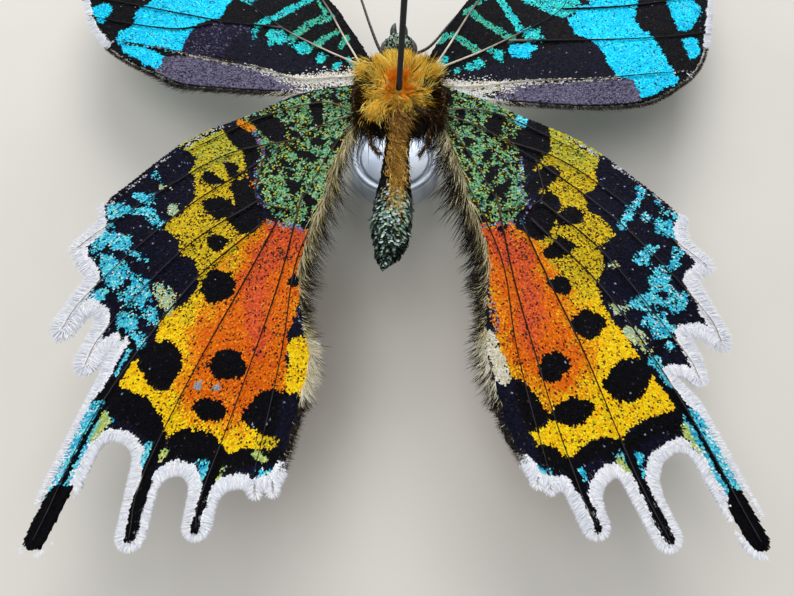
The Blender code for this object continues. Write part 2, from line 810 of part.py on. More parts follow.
def abdomen_locks(collection):
    """Rows of short locks over the flanks and belly, each row between the locks of the row before."""
    made = []
    for row, y in enumerate(ABDOMEN_ROWS):
        shift, height, half_width, half_depth = abdomen_at(y)
        for turn in range(-25 + 24 * (row % 2), 206, 48):
            a = math.radians(turn)
            normal = Vector((math.cos(a) / half_width, 0, math.sin(a) / half_depth)).normalized()
            root = on_body((shift + half_width * math.cos(a), y, height + half_depth * math.sin(a)))
            lie = Vector((0.25 * math.cos(a), -1, 0))
            made.append(lock(root, lie, normal, ABDOMEN_LOCK, FLAT_RISE, collection))
    return made


def ellipsoid(name, centre, size, segments, rings, collection):
    bm = bmesh.new()
    bmesh.ops.create_uvsphere(bm, u_segments=segments, v_segments=rings, radius=1.0)
    bmesh.ops.scale(bm, vec=size, verts=bm.verts)
    bmesh.ops.translate(bm, verts=bm.verts, vec=on_body(centre))
    return add_mesh(name, bm, collection)


def neck(extra, collection):
    start = on_body((0, 4.6 - extra, HEAD_CENTRE[2]))
    end = on_body(HEAD_CENTRE)
    return tube("neck", [start, end], [NECK_RADIUS + extra] * 2, 14, collection)


def eye(side, extra, collection):
    sign = -1 if side == "left" else 1
    centre = (sign * EYE_PLACE[0], EYE_PLACE[1], EYE_PLACE[2])
    size = [half + extra for half in EYE_SIZE]
    return ellipsoid("eye_" + side, centre, size, 16, 10, collection)


def palp(side, extra, collection):
    sign = -1 if side == "left" else 1
    root = Vector((sign * PALP_ROOT[0], PALP_ROOT[1], PALP_ROOT[2]))
    tip = Vector((sign * PALP_TIP[0], PALP_TIP[1], PALP_TIP[2]))
    mid = root.lerp(tip, 0.55) + Vector((sign * 0.12, 0, 0.15))
    line = [on_body(p) for p in (root, root.lerp(mid, 0.5), mid, mid.lerp(tip, 0.6), tip)]
    if extra:
        line[0] = line[0] - (line[1] - line[0]).normalized() * extra
    radii = [PALP_RADIUS * share + extra for share in (0.85, 1.0, 0.95, 0.65, 0.15)]
    return tube("palp_" + side, line, radii, 8, collection)


def antenna(side, extra, collection):
    route = ANTENNA_LEFT if side == "left" else ANTENNA_RIGHT
    if extra:
        return limb("antenna_" + side, route[:2], (ANTENNA_RADIUS, ANTENNA_RADIUS), extra, 1.0, collection)
    return limb("antenna_" + side, route, (ANTENNA_RADIUS, 0.13), 0.0, 1.6, collection)


def pin_bore(collection):
    """A cutter round the pin, from under the thorax to over it."""
    foot = Vector((0, 0, DISC_HEIGHT + GAP))
    along = Vector((math.tan(PIN_LEAN), 0, 1))
    across, forward = Vector((1, 0, 0)), Vector((0, 1, 0))
    radius = PIN_RADIUS + GAP
    rings = [ring(foot + along * rise, across, forward, radius, radius, PIN_SIDES) for rise in BORE_REACH]
    return add_mesh("bore", loft(rings), collection)


def head_locks(collection):
    """Short locks between the eyes, on the belly side and on the crown."""
    made = []
    centre = on_body(HEAD_CENTRE)
    for across, forward, up in HEAD_LOCK_PLACES:
        normal = Vector((across, forward, up)).normalized()
        root = centre + Vector([part * half for part, half in zip(normal, HEAD_SIZE)])
        lie = Vector((across * 0.4, 1.0, 0.2 * up))
        lie -= normal * lie.dot(normal)
        made.append(lock(root, lie, normal, HEAD_LOCK, BODY_RISE, collection))
    return made


def head(collection):
    skull = ellipsoid("head", HEAD_CENTRE, HEAD_SIZE, 20, 12, collection)
    boolean(skull, [neck(0.0, collection)] + head_locks(collection), "UNION")
    cutters = [eye(side, GAP, collection) for side in ("left", "right")]
    cutters += [palp(side, GAP, collection) for side in ("left", "right")]
    cutters += [antenna(side, GAP, collection) for side in ("left", "right")]
    boolean(skull, cutters, "DIFFERENCE")
    return skull


def paint(obj, finish):
    obj.data.materials.clear()
    obj.data.materials.append(finish)
    obj.data.shade_smooth()
    obj.data.set_sharp_from_angle(angle=math.radians(40))


def build():
    clear_scene()
    random.seed(SEED)
    moth = new_collection("sunset_moth")
    black = material("enamel_black", (0.02, 0.02, 0.022), 0.35)
    plated = material("plated_disc", (0.62, 0.68, 0.76), 0.2, 1.0)
    fur = material("orange_fur", (0.85, 0.36, 0.03), 0.9)
    scaled = material("green_black_scales", (0.12, 0.16, 0.12), 0.7)
    brown = material("brown_leg", (0.09, 0.055, 0.03), 0.7)
    dark = material("dark_eye", (0.16, 0.14, 0.13), 0.25)
    blue = material("fore_wing_scales", (0.03, 0.35, 0.42), 0.45)
    gold = material("hind_wing_scales", (0.72, 0.36, 0.04), 0.5)

    paint(stand_disc(moth), plated)
    paint(stand_pin(moth), black)

    trunk = thorax(moth)
    boolean(trunk, thorax_locks(moth), "UNION")
    cutters = [pin_bore(moth), neck(GAP, moth), abdomen(moth, GAP, ABDOMEN[:5])]
    cutters.append(ellipsoid("head", HEAD_CENTRE, [half + GAP for half in HEAD_SIZE], 20, 12, moth))
    for side in ("left", "right"):
        cutters.append(eye(side, GAP, moth))
        cutters.append(wing_socket(FORE_ROOT, FORE_LEVEL, side, moth))
        cutters.append(wing_socket(HIND_ROOT, HIND_LEVEL, side, moth))
    cutters += legs(moth, GAP)
    boolean(trunk, cutters, "DIFFERENCE")
    paint(trunk, fur)
    tail_end = abdomen(moth)
    boolean(tail_end, abdomen_locks(moth), "UNION")
    paint(tail_end, scaled)
    paint(head(moth), scaled)
    for leg in legs(moth):
        paint(leg, brown)
    for side in ("left", "right"):
        paint(eye(side, 0.0, moth), dark)
        paint(palp(side, 0.0, moth), scaled)
        paint(antenna(side, 0.0, moth), black)
        fore = wing("wing_fore_" + side, side, FORE_LEVEL, fore_outline(side), fore_veins(side), moth)
        paint(fore, blue)
        hind = wing("wing_hind_" + side, side, HIND_LEVEL, hind_outline(side), hind_veins(side), moth)
        boolean(hind, wing_hair(side, moth), "UNION")
        paint(hind, gold)


build()
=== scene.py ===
"""Madagascan sunset moth: the looks of the pinned specimen, belly up over its plated disc.

Wings, coat, limbs and stand are each made by an operator of a small add-on. Lengths are in millimetres
in the functions and become metres where a mesh is made. In a wing's own plane a place is (out, forward):
the distance out from the body's line and forward of the wing's origin.
"""

import math

import bmesh
import bpy
import numpy as np
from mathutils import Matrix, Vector
from mathutils.geometry import delaunay_2d_cdt


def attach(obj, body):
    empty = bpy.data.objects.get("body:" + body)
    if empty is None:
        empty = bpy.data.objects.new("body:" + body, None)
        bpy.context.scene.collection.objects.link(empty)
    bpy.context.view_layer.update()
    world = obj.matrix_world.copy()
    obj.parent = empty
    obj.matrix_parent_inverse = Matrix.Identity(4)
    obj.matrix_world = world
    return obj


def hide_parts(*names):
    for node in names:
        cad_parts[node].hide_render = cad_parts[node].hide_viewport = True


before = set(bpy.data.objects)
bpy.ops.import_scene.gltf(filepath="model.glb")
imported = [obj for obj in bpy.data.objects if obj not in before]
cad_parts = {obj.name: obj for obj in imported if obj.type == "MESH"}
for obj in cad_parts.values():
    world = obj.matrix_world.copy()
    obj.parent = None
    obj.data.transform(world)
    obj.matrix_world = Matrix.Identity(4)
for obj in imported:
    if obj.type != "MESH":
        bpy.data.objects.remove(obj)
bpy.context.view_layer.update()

bl_info = {
    "name": "Madagascan Sunset Moth",
    "version": (1, 0, 0),
    "blender": (4, 5, 0),
    "location": "View3D > Sidebar > Moth",
    "description": "Dresses a pinned sunset moth with scales, fringes, fur and its stand",
    "category": "Add Mesh",
}

MM = 0.001
BODY = "root"
SIDES = ("left", "right")
FACES = ("belly", "back")

# How far apart the points of a wing's edges, veins and strokes lie
EDGE_STEP = 0.5
VEIN_STEP = 0.8
STROKE_STEP = 0.4

# The body's line and the wings' planes
BODY_X = 0.45
LEVEL = {"fore": 10.4, "hind": 11.5}
WING_ORIGIN_Y = 1.9
DIHEDRAL = math.radians(-5.0)

# The forewing's edge, from its root round the tip and back
FORE_ROOT = ((2.6, 3.2), (3.0, 0.2))
FORE_COSTA = (
    (3.0, 4.9), (3.9, 7.0), (5.4, 9.9), (7.6, 13.6), (11.2, 18.3),
    (16.0, 22.8), (22.0, 26.6), (29.0, 29.6), (35.0, 31.2),
)
FORE_APEX = (38.6, 31.2)
FORE_MARGIN = ((38.7, 26.5), (37.8, 21.6), (36.4, 17.0))
FORE_TORNUS = {"left": (
    (35.1, 13.2), (33.1, 10.0), (31.2, 7.9), (28.6, 5.8), (26.0, 4.2),
    (22.9, 2.5), (18.9, 1.7), (13.4, 0.8), (8.0, 0.0),
), "right": (
    (34.9, 11.4), (33.4, 7.4), (31.5, 4.6), (29.6, 2.9), (27.4, 1.3),
    (24.9, 0.2), (20.2, -0.6), (14.4, -0.9), (8.0, -0.6),
)}

# Where the forewing's veins run, and the fold behind them, which comes last
FORE_ROUTES = {"left": (
    ((4.0, 3.9), (5.3, 6.8), (8.8, 14.1), (13.5, 20.6), (20.5, 25.0), (31.5, 28.8)),
    ((4.0, 3.7), (8.0, 6.4), (12.5, 9.5), (16.2, 13.4), (17.4, 15.6)),
    ((12.5, 9.5), (18.7, 10.9), (22.2, 12.3), (30.0, 14.9), (37.2, 17.4)),
    ((20.4, 11.0), (23.7, 10.6), (26.8, 11.2), (33.0, 13.0), (35.2, 13.8)),
    ((17.4, 15.6), (27.0, 19.0), (38.0, 22.0)),
    ((16.6, 17.8), (27.0, 22.8), (38.4, 26.2)),
    ((14.4, 20.3), (26.0, 25.8), (38.3, 29.6)),
    ((13.5, 20.6), (15.8, 18.4), (17.4, 15.6)),
    ((3.8, 2.1), (7.1, 2.2), (10.7, 2.4), (14.7, 4.3), (20.1, 5.8), (27.8, 8.6), (32.4, 10.0)),
), "right": (
    ((3.5, 3.1), (7.0, 10.1), (9.4, 14.2), (13.6, 20.0), (20.5, 25.0), (31.5, 28.8)),
    ((3.7, 3.0), (9.5, 6.6), (14.7, 10.0), (18.0, 13.0), (19.0, 15.4)),
    ((11.7, 7.7), (17.4, 8.1), (24.1, 9.0), (34.2, 11.2)),
    ((18.0, 13.0), (27.0, 14.6), (36.8, 17.4)),
    ((19.0, 15.4), (28.0, 18.8), (38.0, 22.0)),
    ((17.6, 17.8), (27.5, 22.6), (38.4, 26.2)),
    ((14.6, 20.3), (26.0, 25.8), (38.3, 29.6)),
    ((13.6, 20.0), (17.0, 18.2), (19.0, 15.4)),
    ((3.8, 0.9), (7.6, 1.0), (13.9, 2.4), (20.2, 3.1), (28.5, 4.6), (31.0, 5.2)),
)}

# The hindwing's edge: the costa, then teeth and tails as root, tip, half width and the notch that follows
HIND_ROOT = ((3.1, 0.4), (2.6, -4.0))
HIND_COSTA = {"left": (
    (5.0, 0.2), (9.4, -0.5), (14.4, -2.9), (18.0, -4.4), (21.1, -6.2), (25.0, -9.8), (28.0, -12.6),
), "right": (
    (4.6, 0.0), (8.0, -1.3), (11.0, -2.8), (14.6, -4.5), (18.1, -6.4), (22.9, -10.5), (26.3, -13.9),
)}
SLANT = 3.2
HIND_TAILS = {"left": (
    ((26.6, -14.8), (29.3, -17.3), 0.5, (27.1, -19.7)),
    ((27.0, -21.8), (28.8, -25.3), 0.7, (26.0, -23.1)),
    ((24.7, -25.0), (26.0, -28.6), 0.75, (23.3, -26.2)),
    ((23.9, -32.1), (27.1, -42.3), 1.3, (21.8, -34.1)),
    ((19.2, -36.5), (19.5, -42.0), 1.0, (16.6, -36.6)),
    ((14.4, -37.7), (14.7, -41.3), 0.92, (11.9, -37.6)),
    ((10.8, -37.0), (10.5, -38.5), 0.4, (9.9, -37.7)),
    ((9.2, -36.9), (9.3, -38.4), 0.35, (8.8, -37.5)),
), "right": (
    ((24.7, -16.6), (27.4, -19.2), 0.5, (25.7, -20.1)),
    ((25.9, -23.1), (27.1, -26.4), 0.55, (24.2, -25.2)),
    ((23.4, -26.8), (24.4, -29.8), 0.75, (22.0, -28.9)),
    ((23.3, -33.5), (26.7, -42.4), 1.3, (21.0, -34.9)),
    ((17.8, -37.1), (19.6, -42.0), 1.0, (15.9, -36.8)),
    ((13.2, -37.9), (14.4, -41.2), 0.92, (11.7, -37.8)),
    ((11.1, -37.0), (11.0, -38.2), 0.4, (10.6, -37.5)),
    ((10.0, -36.5), (10.2, -37.8), 0.35, (9.6, -37.0)),
)}
HIND_INNER = {"left": (
    (8.5, -36.7), (7.6, -33.0), (6.9, -29.6), (6.7, -27.6), (7.6, -24.3),
    (8.0, -19.9), (7.4, -16.6), (6.3, -13.2), (5.3, -8.8), (4.1, -5.4),
), "right": (
    (9.2, -36.2), (7.8, -33.7), (7.1, -30.6), (6.5, -27.7), (6.7, -23.5),
    (7.2, -19.1), (6.9, -16.8), (5.9, -13.7), (4.8, -9.2), (3.9, -5.6),
)}
HIND_STEM = (3.9, -3.4)
CELL_FRONT = ((7.8, -4.9), (12.8, -8.4))
CELL_REAR = ((6.5, -8.0), (9.2, -14.3))
CELL_MIDDLE = (12.9, -12.8)
ANAL_VEIN = ((6.0, -11.0), (8.8, -19.0), (9.4, -27.0))
SHOULDER_VEIN = ((1, (-1.9, -1.5)), (2, (-0.9, -0.7)), (4, (-0.9, -0.9)))
TAIL_VEINS = (
    ((9.8, -6.2), (17.1, -8.0)),
    ((12.8, -8.4), (20.1, -14.0)),
    ((12.7, -13.0), (18.8, -17.6)),
    ((11.8, -15.1), (18.2, -21.6)),
    ((10.7, -15.0), (15.2, -25.8)),
    ((8.7, -12.5), (10.9, -24.5)),
)

# Markings of the belly side in each wing's plane, in the order they are drawn: colour and smooth rings
HIND_PATCHES = {"left": (
    ("warm", (((20.8, -6.3), (17.5, -4.5), (16.1, -5.7), (14.5, -7.4), (14.2, -9.9), (15.2, -11.1),
        (14.5, -12.8), (15.4, -14.4), (13.4, -16.1), (11.8, -15.0), (9.5, -15.6), (7.7, -16.3), (7.9, -21.6),
        (9.0, -25.6), (8.8, -30.7), (10.0, -33.8), (10.6, -35.1), (13.5, -35.2), (16.4, -33.5),
        (18.1, -34.1), (19.3, -32.0), (22.2, -30.5), (21.7, -27.9), (20.2, -25.8), (19.8, -23.9),
        (17.3, -21.6), (17.6, -18.8), (19.1, -18.1), (19.5, -16.2), (21.1, -15.3), (19.4, -13.5),
        (18.6, -12.0), (19.4, -9.4), (19.3, -7.6)),)),
    ("green", (((4.0, -3.0), (4.7, -0.1), (9.2, -0.8), (12.4, -2.1), (14.9, -3.6), (13.3, -6.0),
        (13.3, -9.0), (12.7, -12.4), (10.7, -14.8), (7.7, -15.7), (6.1, -11.8), (4.9, -7.8)),)),
    ("black", (((8.3, -1.6), (7.2, -1.9), (7.0, -3.6), (7.5, -4.7), (8.4, -3.5)), ((14.2, -3.3),
        (12.2, -3.2), (10.7, -5.2), (11.5, -6.6), (13.0, -5.2)), ((8.4, -5.9), (7.4, -5.8), (6.9, -6.9),
        (8.0, -6.8)), ((9.7, -7.2), (8.2, -7.5), (6.7, -8.4), (7.9, -8.5), (9.4, -7.9)), ((6.3, -6.2),
        (5.6, -6.5), (5.9, -7.1)), ((11.3, -8.0), (10.3, -8.3), (9.8, -9.2), (10.9, -8.8)), ((10.5, -4.6),
        (9.5, -5.2), (9.6, -5.9), (10.3, -5.4)), ((10.0, -10.8), (9.0, -11.3), (9.3, -12.3), (10.0, -11.8)),
        ((10.5, -9.3), (9.7, -9.6), (10.0, -10.3)), ((8.5, -12.5), (7.7, -12.7), (7.4, -13.5), (8.3, -13.5)),
        ((12.8, -6.9), (11.8, -7.2), (12.0, -8.2), (12.6, -7.9)), ((8.7, -15.6), (7.4, -15.0), (7.0, -15.7),
        (8.2, -16.1)), ((6.5, -0.8), (5.8, -1.4), (6.1, -2.3)), ((16.7, -4.3), (15.0, -4.4), (13.1, -6.6),
        (14.9, -7.0), (16.3, -5.6)), ((14.5, -7.1), (13.3, -7.6), (13.3, -8.9), (14.3, -8.6)),
        ((14.9, -10.3), (13.3, -10.8), (12.2, -12.6), (12.0, -15.0), (13.2, -16.3), (15.2, -14.8),
        (14.7, -13.0), (15.5, -11.2)))),
    ("amber", (((15.6, -3.7), (14.4, -3.9), (13.5, -5.0), (14.7, -4.7)), ((13.9, -10.2), (13.1, -10.8),
        (13.6, -11.2)))),
    ("black", (((16.4, -8.2), (15.2, -8.5), (14.8, -10.1), (15.5, -10.1), (16.2, -9.3)), ((18.3, -9.2),
        (17.2, -9.4), (16.0, -10.4), (17.1, -11.0), (18.2, -10.2)), ((17.8, -12.5), (16.2, -12.2),
        (14.9, -13.3), (15.8, -14.5), (17.4, -13.9)), ((16.7, -16.4), (15.6, -16.1), (15.0, -17.0),
        (15.8, -17.8), (16.8, -17.3)), ((16.9, -20.8), (15.4, -19.5), (13.9, -20.9), (14.5, -22.5),
        (16.1, -22.5)), ((9.5, -21.0), (8.8, -20.2), (8.1, -20.9), (8.8, -21.7)))),
    ("pale", (((21.0, -20.5), (18.8, -22.0), (19.5, -23.5), (20.5, -22.0)), ((21.0, -12.8), (19.7, -13.3),
        (20.5, -14.0)), ((22.1, -10.7), (21.3, -10.9), (21.8, -11.4)))),
    ("cyan", (((23.9, -8.8), (22.7, -9.4), (22.1, -10.2), (23.5, -9.7)), ((24.7, -11.1), (22.9, -11.6),
        (22.3, -12.5), (24.1, -12.0)), ((26.8, -12.5), (25.2, -12.2), (24.4, -13.0), (26.4, -14.2)),
        ((24.6, -12.8), (22.4, -13.2), (21.1, -14.6), (21.7, -15.4), (22.9, -13.9)), ((26.8, -14.4),
        (25.7, -14.2), (25.7, -15.1), (26.7, -14.9)), ((27.0, -15.2), (25.0, -15.5), (23.4, -16.9),
        (24.6, -17.5), (26.4, -16.5)), ((27.7, -16.5), (26.8, -15.7), (26.2, -17.0), (27.3, -17.2)),
        ((23.9, -17.3), (22.7, -17.7), (22.1, -18.5), (23.6, -18.2)), ((26.4, -17.5), (24.4, -18.2),
        (23.3, -19.8), (24.1, -21.0), (25.8, -19.9)), ((23.4, -20.5), (21.3, -20.6), (22.0, -21.5),
        (23.2, -22.0)), ((26.5, -21.3), (25.3, -21.3), (25.3, -22.3), (26.3, -22.0)), ((23.9, -21.7),
        (22.9, -22.0), (23.2, -22.9)), ((22.8, -21.6), (21.2, -21.9), (21.8, -23.0)), ((21.5, -23.0),
        (20.5, -23.3), (20.3, -24.7), (21.2, -24.5)), ((23.7, -23.6), (22.2, -23.7), (21.7, -24.8),
        (23.2, -25.0)), ((22.2, -25.1), (20.9, -25.8), (21.2, -26.9), (22.1, -26.0)), ((23.9, -31.9),
        (22.4, -32.4), (24.2, -35.6), (25.4, -38.4), (26.9, -38.6), (26.0, -35.1), (24.8, -32.4)))),
    ("lime", (((23.7, -31.9), (22.6, -32.3), (23.1, -33.6), (24.0, -33.3)),)),
    ("black", (((24.6, -31.6), (23.6, -30.3), (22.7, -29.1), (22.6, -30.6), (23.5, -32.2)), ((22.8, -25.7),
        (22.0, -25.8), (21.3, -27.4), (22.2, -27.2)), ((21.3, -27.2), (20.4, -26.1), (19.0, -25.9),
        (17.6, -27.0), (17.3, -28.6), (18.0, -29.8), (19.3, -30.0), (20.7, -28.9)), ((15.3, -28.0),
        (14.5, -27.2), (13.2, -27.0), (12.1, -28.2), (12.5, -29.2), (13.9, -29.6), (15.0, -29.0)),
        ((16.2, -31.5), (15.2, -30.9), (13.9, -31.3), (13.3, -32.0), (13.9, -32.7), (15.3, -32.6)),
        ((12.1, -31.7), (11.0, -30.7), (9.8, -30.3), (8.4, -30.6), (7.6, -31.2), (7.9, -34.0), (9.6, -34.1),
        (11.0, -33.5), (11.9, -32.7)))),
    ("navy", (((9.0, -31.2), (7.9, -30.4), (7.2, -32.4), (8.0, -34.8), (9.0, -36.4), (9.3, -34.0)),)),
    ("black", (((22.1, -30.2), (20.0, -30.8), (18.2, -32.6), (17.8, -34.9), (19.3, -34.0), (20.9, -32.9),
        (22.8, -31.9)), ((18.0, -34.6), (17.0, -33.3), (15.0, -33.3), (13.2, -34.6), (13.0, -36.2),
        (14.4, -36.0), (15.8, -35.2), (17.4, -35.8)), ((13.3, -35.1), (11.0, -35.0), (8.6, -34.9),
        (8.2, -36.7), (10.3, -36.1), (13.0, -36.4)))),
    ("yellow", (((10.8, -34.0), (9.2, -34.2), (9.6, -34.9), (10.7, -34.7)),)),
    ("lime", (((10.8, -35.2), (9.7, -35.3), (9.9, -35.9), (10.6, -35.8)), ((19.0, -34.6), (18.0, -34.9),
        (18.6, -35.4)))),
    ("cyan", (((19.3, -34.6), (18.6, -34.8), (18.7, -35.7), (19.2, -35.5)), ((14.8, -35.8), (13.7, -36.2),
        (14.4, -37.0)), ((10.9, -36.7), (9.8, -36.2), (8.8, -36.8), (9.8, -37.6)))),
    ("golden", (((8.8, -26.2), (7.2, -26.2), (6.8, -28.3), (7.0, -30.3), (8.7, -30.6), (8.8, -28.4)),)),
    ("scar", (((16.1, -30.0), (15.6, -29.5), (15.7, -30.3)), ((14.7, -30.2), (14.2, -29.7), (14.1, -30.4)))),
), "right": (
    ("warm", (((14.4, -4.4), (16.5, -5.3), (19.1, -6.9), (18.3, -8.9), (18.2, -10.9), (17.0, -12.0),
        (17.1, -13.4), (19.1, -15.9), (17.7, -17.1), (17.7, -19.1), (16.8, -21.1), (17.5, -23.6),
        (18.5, -25.3), (20.3, -29.0), (21.6, -31.6), (18.8, -32.6), (16.5, -34.3), (14.4, -34.3),
        (12.5, -35.6), (10.2, -34.7), (9.7, -33.5), (11.2, -32.4), (9.6, -29.8), (8.1, -28.1), (7.2, -22.0),
        (6.7, -15.9), (9.4, -15.3), (12.1, -16.9), (13.9, -14.6), (14.4, -12.4), (12.4, -12.0), (14.9, -9.7),
        (12.4, -9.3), (14.0, -7.2)),)),
    ("green", (((3.1, -3.1), (4.3, -0.1), (6.9, -0.6), (9.6, -1.7), (11.9, -3.5), (10.9, -6.2), (11.4, -8.6),
        (11.4, -11.5), (10.9, -14.3), (8.1, -15.4), (5.8, -14.2), (4.6, -11.0), (3.5, -6.7)),)),
    ("black", (((5.6, -2.6), (6.3, -3.2), (6.0, -4.7), (5.4, -4.0)), ((4.6, -0.9), (5.2, -1.3), (4.9, -2.4),
        (4.5, -2.0)), ((8.2, -3.7), (9.3, -3.0), (10.1, -4.2), (8.9, -6.0), (8.0, -5.0)), ((6.0, -6.0),
        (6.8, -5.9), (7.0, -6.7), (6.3, -7.0)), ((5.9, -7.6), (6.6, -7.5), (6.6, -8.3), (6.0, -8.3)),
        ((7.6, -7.6), (8.6, -7.0), (9.0, -7.5), (7.9, -8.4)), ((7.6, -11.1), (8.0, -9.9), (9.0, -9.0),
        (9.0, -9.9), (8.3, -10.9)), ((7.9, -12.8), (8.9, -11.7), (10.0, -11.0), (9.8, -11.9), (8.7, -12.8)),
        ((6.2, -14.8), (7.2, -14.6), (7.8, -15.1), (6.7, -15.5)), ((8.5, -15.7), (9.3, -15.6), (9.0, -16.3)),
        ((11.1, -5.7), (12.3, -4.2), (14.0, -4.3), (14.3, -6.3), (13.2, -7.9), (11.4, -7.7)), ((11.7, -8.4),
        (13.0, -8.1), (12.7, -8.8), (12.0, -9.5)), ((12.4, -10.1), (13.6, -8.7), (14.8, -9.3), (13.9, -10.9),
        (12.0, -12.1), (11.5, -11.4)), ((12.3, -12.9), (13.7, -11.7), (14.2, -12.9), (13.9, -14.6),
        (13.0, -16.6), (11.6, -16.6), (11.0, -14.8)), ((13.9, -14.4), (15.3, -13.4), (16.5, -13.9),
        (15.5, -15.2), (14.2, -15.3)), ((12.6, -17.8), (13.9, -16.5), (15.2, -17.3), (14.1, -18.5),
        (12.9, -18.7)), ((12.5, -21.1), (13.7, -20.2), (14.7, -21.0), (13.5, -22.2)), ((14.3, -24.3),
        (16.0, -23.2), (17.3, -24.4), (15.6, -26.0), (14.2, -25.1)), ((11.0, -28.3), (12.2, -27.2),
        (13.8, -27.8), (12.6, -29.4), (11.1, -29.4)), ((11.5, -32.0), (13.2, -30.9), (15.1, -31.4),
        (14.0, -33.0), (12.1, -32.8)), ((16.2, -29.5), (17.4, -27.8), (19.5, -27.5), (20.2, -28.8),
        (18.6, -30.9), (16.6, -31.0)), ((8.9, -30.0), (9.8, -29.9), (11.0, -31.6), (11.2, -33.0),
        (9.9, -33.6), (9.2, -32.0)))),
    ("navy", (((7.3, -29.6), (8.6, -29.6), (9.2, -31.8), (10.4, -35.3), (9.8, -36.6), (8.2, -34.8),
        (7.2, -31.5)),)),
    ("black", (((21.6, -31.7), (22.5, -32.6), (21.6, -33.6), (19.3, -33.8), (17.6, -35.2), (17.3, -33.9),
        (19.0, -32.7)), ((16.9, -34.2), (17.2, -35.3), (14.9, -35.4), (13.2, -36.6), (12.8, -35.6),
        (14.7, -34.2)), ((12.4, -35.6), (13.1, -36.4), (11.0, -36.3), (10.2, -34.7), (11.4, -34.7)),
        ((19.5, -27.3), (20.9, -26.1), (22.2, -25.5), (21.8, -26.9), (20.1, -27.9)), ((7.0, -16.8),
        (7.8, -16.9), (7.3, -17.7)), ((6.3, -14.6), (7.6, -14.6), (7.3, -15.4), (6.5, -15.3)))),
    ("cyan", (((22.2, -10.5), (22.8, -11.0), (21.8, -13.1), (19.8, -15.5), (19.5, -15.1), (21.2, -12.7)),
        ((23.2, -11.1), (23.8, -11.3), (23.4, -11.8)), ((23.8, -12.4), (24.8, -12.5), (24.3, -13.2)),
        ((21.5, -13.4), (22.8, -13.9), (21.9, -14.5)), ((23.3, -14.5), (25.0, -14.5), (24.9, -16.2),
        (23.3, -15.6)), ((20.5, -18.6), (21.9, -17.2), (23.1, -17.2), (21.7, -18.5)), ((24.4, -17.5),
        (25.6, -17.4), (24.4, -18.9), (22.1, -19.7), (23.2, -18.8)), ((21.6, -20.1), (23.1, -19.9),
        (23.6, -21.4), (21.6, -21.2)), ((23.1, -21.9), (24.6, -21.8), (24.0, -23.1), (22.8, -22.9)),
        ((19.3, -22.8), (20.8, -21.8), (22.3, -22.4), (20.6, -23.0)), ((20.4, -23.9), (22.4, -23.6),
        (22.7, -25.0), (21.2, -25.7), (20.6, -24.9)), ((24.8, -12.8), (26.0, -13.5), (25.2, -14.1)),
        ((20.2, -27.8), (21.4, -27.5), (20.9, -28.4)), ((22.0, -26.1), (22.8, -26.5), (22.2, -27.4)),
        ((11.2, -3.6), (12.2, -3.6), (11.9, -4.5)))),
    ("pale", (((17.9, -19.1), (18.9, -18.7), (18.7, -19.6)), ((17.7, -22.8), (19.2, -22.7), (18.6, -23.5)),
        ((18.7, -24.9), (20.5, -25.2), (20.0, -27.1), (19.0, -26.2)))),
    ("cyan", (((22.0, -33.1), (23.4, -33.3), (25.2, -35.9), (26.6, -39.1), (25.6, -39.5), (23.9, -36.7)),)),
    ("lime", (((21.8, -33.2), (22.7, -33.1), (22.3, -34.1)),)),
    ("cyan", (((16.7, -35.3), (18.2, -35.2), (17.8, -36.2)), ((12.5, -36.4), (13.5, -36.4), (13.0, -37.2)),
        ((9.7, -36.1), (11.2, -36.3), (10.9, -37.3), (9.9, -36.8)))),
    ("cream", (((6.8, -26.1), (7.6, -25.7), (8.7, -29.6), (7.6, -29.6)),)),
)}
# Strokes over them: colour, width and route
HIND_STROKES = {"left": (
    ("violet", 0.35, ((13.7, -4.9), (12.7, -7.6), (13.3, -9.1), (12.7, -12.4), (12.1, -13.5))),
    ("violet", 0.35, ((11.7, -15.0), (9.3, -15.7), (7.7, -16.3))),
    ("slate", 0.5, ((7.5, -16.4), (7.9, -21.6), (8.1, -24.6))),
    ("silver", 0.3, ((17.0, -4.3), (21.0, -6.8), (24.6, -10.2), (27.4, -12.8))),
), "right": (
    ("violet", 0.35, ((11.4, -7.8), (11.0, -12.0), (11.6, -13.5), (11.0, -14.7))),
    ("violet", 0.35, ((6.5, -15.9), (8.1, -15.5), (10.8, -15.1))),
    ("slate", 0.5, ((6.5, -16.1), (7.2, -20.6), (7.9, -25.6))),
    ("silver", 0.2, ((16.0, -5.6), (21.0, -9.2), (25.4, -13.4))),
)}
